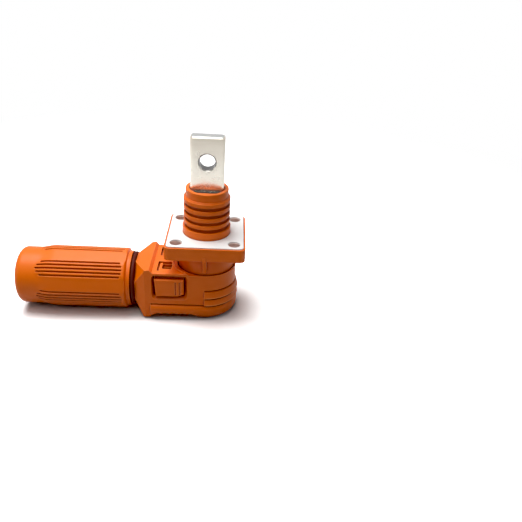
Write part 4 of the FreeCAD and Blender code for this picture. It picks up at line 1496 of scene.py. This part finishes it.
@dataclass
class Studio:
    """Camera at the photograph's angle, soft white light and a plain floor."""

    eye: Point = (13.83, -291.84, 147.85)
    yaw: float = 3.866
    pitch: float = 29.704
    roll: float = 4.121
    focal_pixels: float = 548.18
    floor_low: tuple[float, float] = (-88.0, -53.0)
    floor_high: tuple[float, float] = (10.0, -51.35)
    fade_from: float = 240.0
    fade_to: float = 480.0
    contact_reach: float = 14.0
    contact_shade: float = 0.35
    contact_range: tuple[float, float] = (0.35, 0.95)
    contact_samples: int = 16
    floor_half: float = 600.0
    floor_tone: tuple[float, float] = (1.3, 0.4)
    sensor: float = 36.0
    clip: tuple[float, float] = (0.01, 20.0)
    aim: Point = (-40.0, 0.0, -20.0)
    world_gloss: float = 0.74
    floor_gloss: float = 0.54
    black: float = 0.007

    def build(self) -> None:
        """Makes the camera, the lights, the world and the floor."""
        self.camera()
        self.lights()
        self.world()
        self.floor()

    def camera(self) -> None:
        """Places the camera from the view's yaw, pitch and roll."""
        swap = Matrix(((1, 0, 0), (0, 0, -1), (0, 1, 0)))
        yaw, pitch, roll = (math.radians(angle) for angle in (self.yaw, self.pitch, self.roll))
        tilt = Matrix.Rotation(roll, 3, "Z") @ Matrix.Rotation(pitch, 3, "X")
        view = tilt @ swap @ Matrix.Rotation(yaw, 3, "Z")
        turn = view.transposed() @ Matrix.Diagonal((1, -1, -1))
        data = bpy.data.cameras.new("camera")
        data.sensor_width = self.sensor
        data.lens = self.focal_pixels / IMAGE_SIDE * self.sensor
        data.clip_start, data.clip_end = self.clip
        eye = stand("camera", data)
        eye.matrix_world = Matrix.Translation(Vector(self.eye) * MM) @ turn.to_4x4()
        bpy.context.scene.camera = eye

    def lights(self) -> None:
        """Places the soft boxes."""
        for box in SOFT_BOXES:
            data = bpy.data.lights.new(box.name, "AREA")
            data.size = box.size * MM
            data.energy = box.power
            lamp = stand(box.name, data)
            direction = (Vector(self.aim) - Vector(box.place)).normalized()
            lamp.location = Vector(box.place) * MM
            lamp.rotation_mode = "QUATERNION"
            lamp.rotation_quaternion = direction.to_track_quat("-Z", "Y")

    @staticmethod
    def seen(w: Wiring, path: Node, gloss: float) -> Socket:
        """Gives 1 where the camera looks, a share where a reflection does, and 0 elsewhere."""
        reflected = w.times(path.outputs["Is Glossy Ray"], gloss)
        return w.math("MAXIMUM", path.outputs["Is Camera Ray"], reflected)

    def world(self) -> None:
        """Dim white surroundings for the object, and plain white behind it."""
        world = bpy.data.worlds.new("surroundings")
        world.use_nodes = True
        w = Wiring(world.node_tree)
        back = world.node_tree.nodes["Background"]
        seen = self.seen(w, w.node("ShaderNodeLightPath"), self.world_gloss)
        back.inputs["Color"].default_value = (1.0, 1.0, 1.0, 1.0)
        w.join(seen, back.inputs["Strength"])
        scene = bpy.context.scene
        scene.world = world
        settings = scene.view_settings
        settings.view_transform = "Standard"
        settings.use_curve_mapping = True
        settings.curve_mapping.black_level = (self.black,) * 3
        settings.curve_mapping.update()

    def floor(self) -> None:
        """A wide white sheet that touches the housing's foot and the nut."""
        run = self.floor_high[0] - self.floor_low[0]
        slope = (self.floor_high[1] - self.floor_low[1]) / run
        corners = []
        for x, y in ((-1, -1), (1, -1), (1, 1), (-1, 1)):
            height = self.floor_low[1] + slope * (x * self.floor_half - self.floor_low[0])
            corners.append(Vector((x * self.floor_half, y * self.floor_half, height)) * MM)
        data = bpy.data.meshes.new("floor")
        data.from_pydata(corners, [], [(0, 1, 2, 3)])
        sheet = stand("floor", data)
        material, w, shader = new_material("white floor")
        material.node_tree.nodes.remove(shader)
        paper = w.node("ShaderNodeBsdfDiffuse")
        path = w.node("ShaderNodeLightPath")
        # Painted contact shadow: the floor's colour darkens near the object by ambient occlusion
        near = w.node("ShaderNodeAmbientOcclusion", samples=self.contact_samples)
        near.inputs["Distance"].default_value = self.contact_reach * MM
        contact = w.ramp(near.outputs["AO"], *self.contact_range, self.contact_shade)
        shown = w.times(self.seen(w, path, self.floor_gloss), contact)
        tone = w.math("MULTIPLY_ADD", shown, *self.floor_tone)
        joined = w.node("ShaderNodeCombineColor")
        for channel in ("Red", "Green", "Blue"):
            w.join(tone, joined.inputs[channel])
        w.join(joined.outputs[0], paper.inputs["Color"])
        away = w.vector_math("LENGTH", w.place()).outputs["Value"]
        far = w.ramp(away, self.fade_from * MM, self.fade_to * MM, interpolation_type="SMOOTHSTEP")
        blend = w.node("ShaderNodeMixShader")
        w.join(w.times(far, path.outputs["Is Camera Ray"]), blend.inputs[0])
        w.join(paper.outputs[0], blend.inputs[1])
        w.join(w.node("ShaderNodeEmission").outputs[0], blend.inputs[2])
        w.join(blend.outputs[0], material.node_tree.nodes["Material Output"].inputs["Surface"])
        data.materials.append(material)


def main() -> None:
    """Loads the frame, dresses it and builds the studio."""
    logging.basicConfig(level=logging.INFO, format="%(name)s: %(message)s")
    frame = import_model()
    finishes = Finishes()
    slots = {entry["node"]: entry["material_slot"] for entry in frame["record"]["subparts"]}
    for name, node in frame["nodes"].items():
        finishes.dress(node, slots[name])
        LOG.info("dressed %s", name)
    shop = Workshop(finishes)
    for assembly in (Receptacle(), MouthBead(), RibLips(), GlandNut(), ButtonSprings()):
        assembly.build(shop)
    Studio().build()


if __name__ == "__main__":
    main()
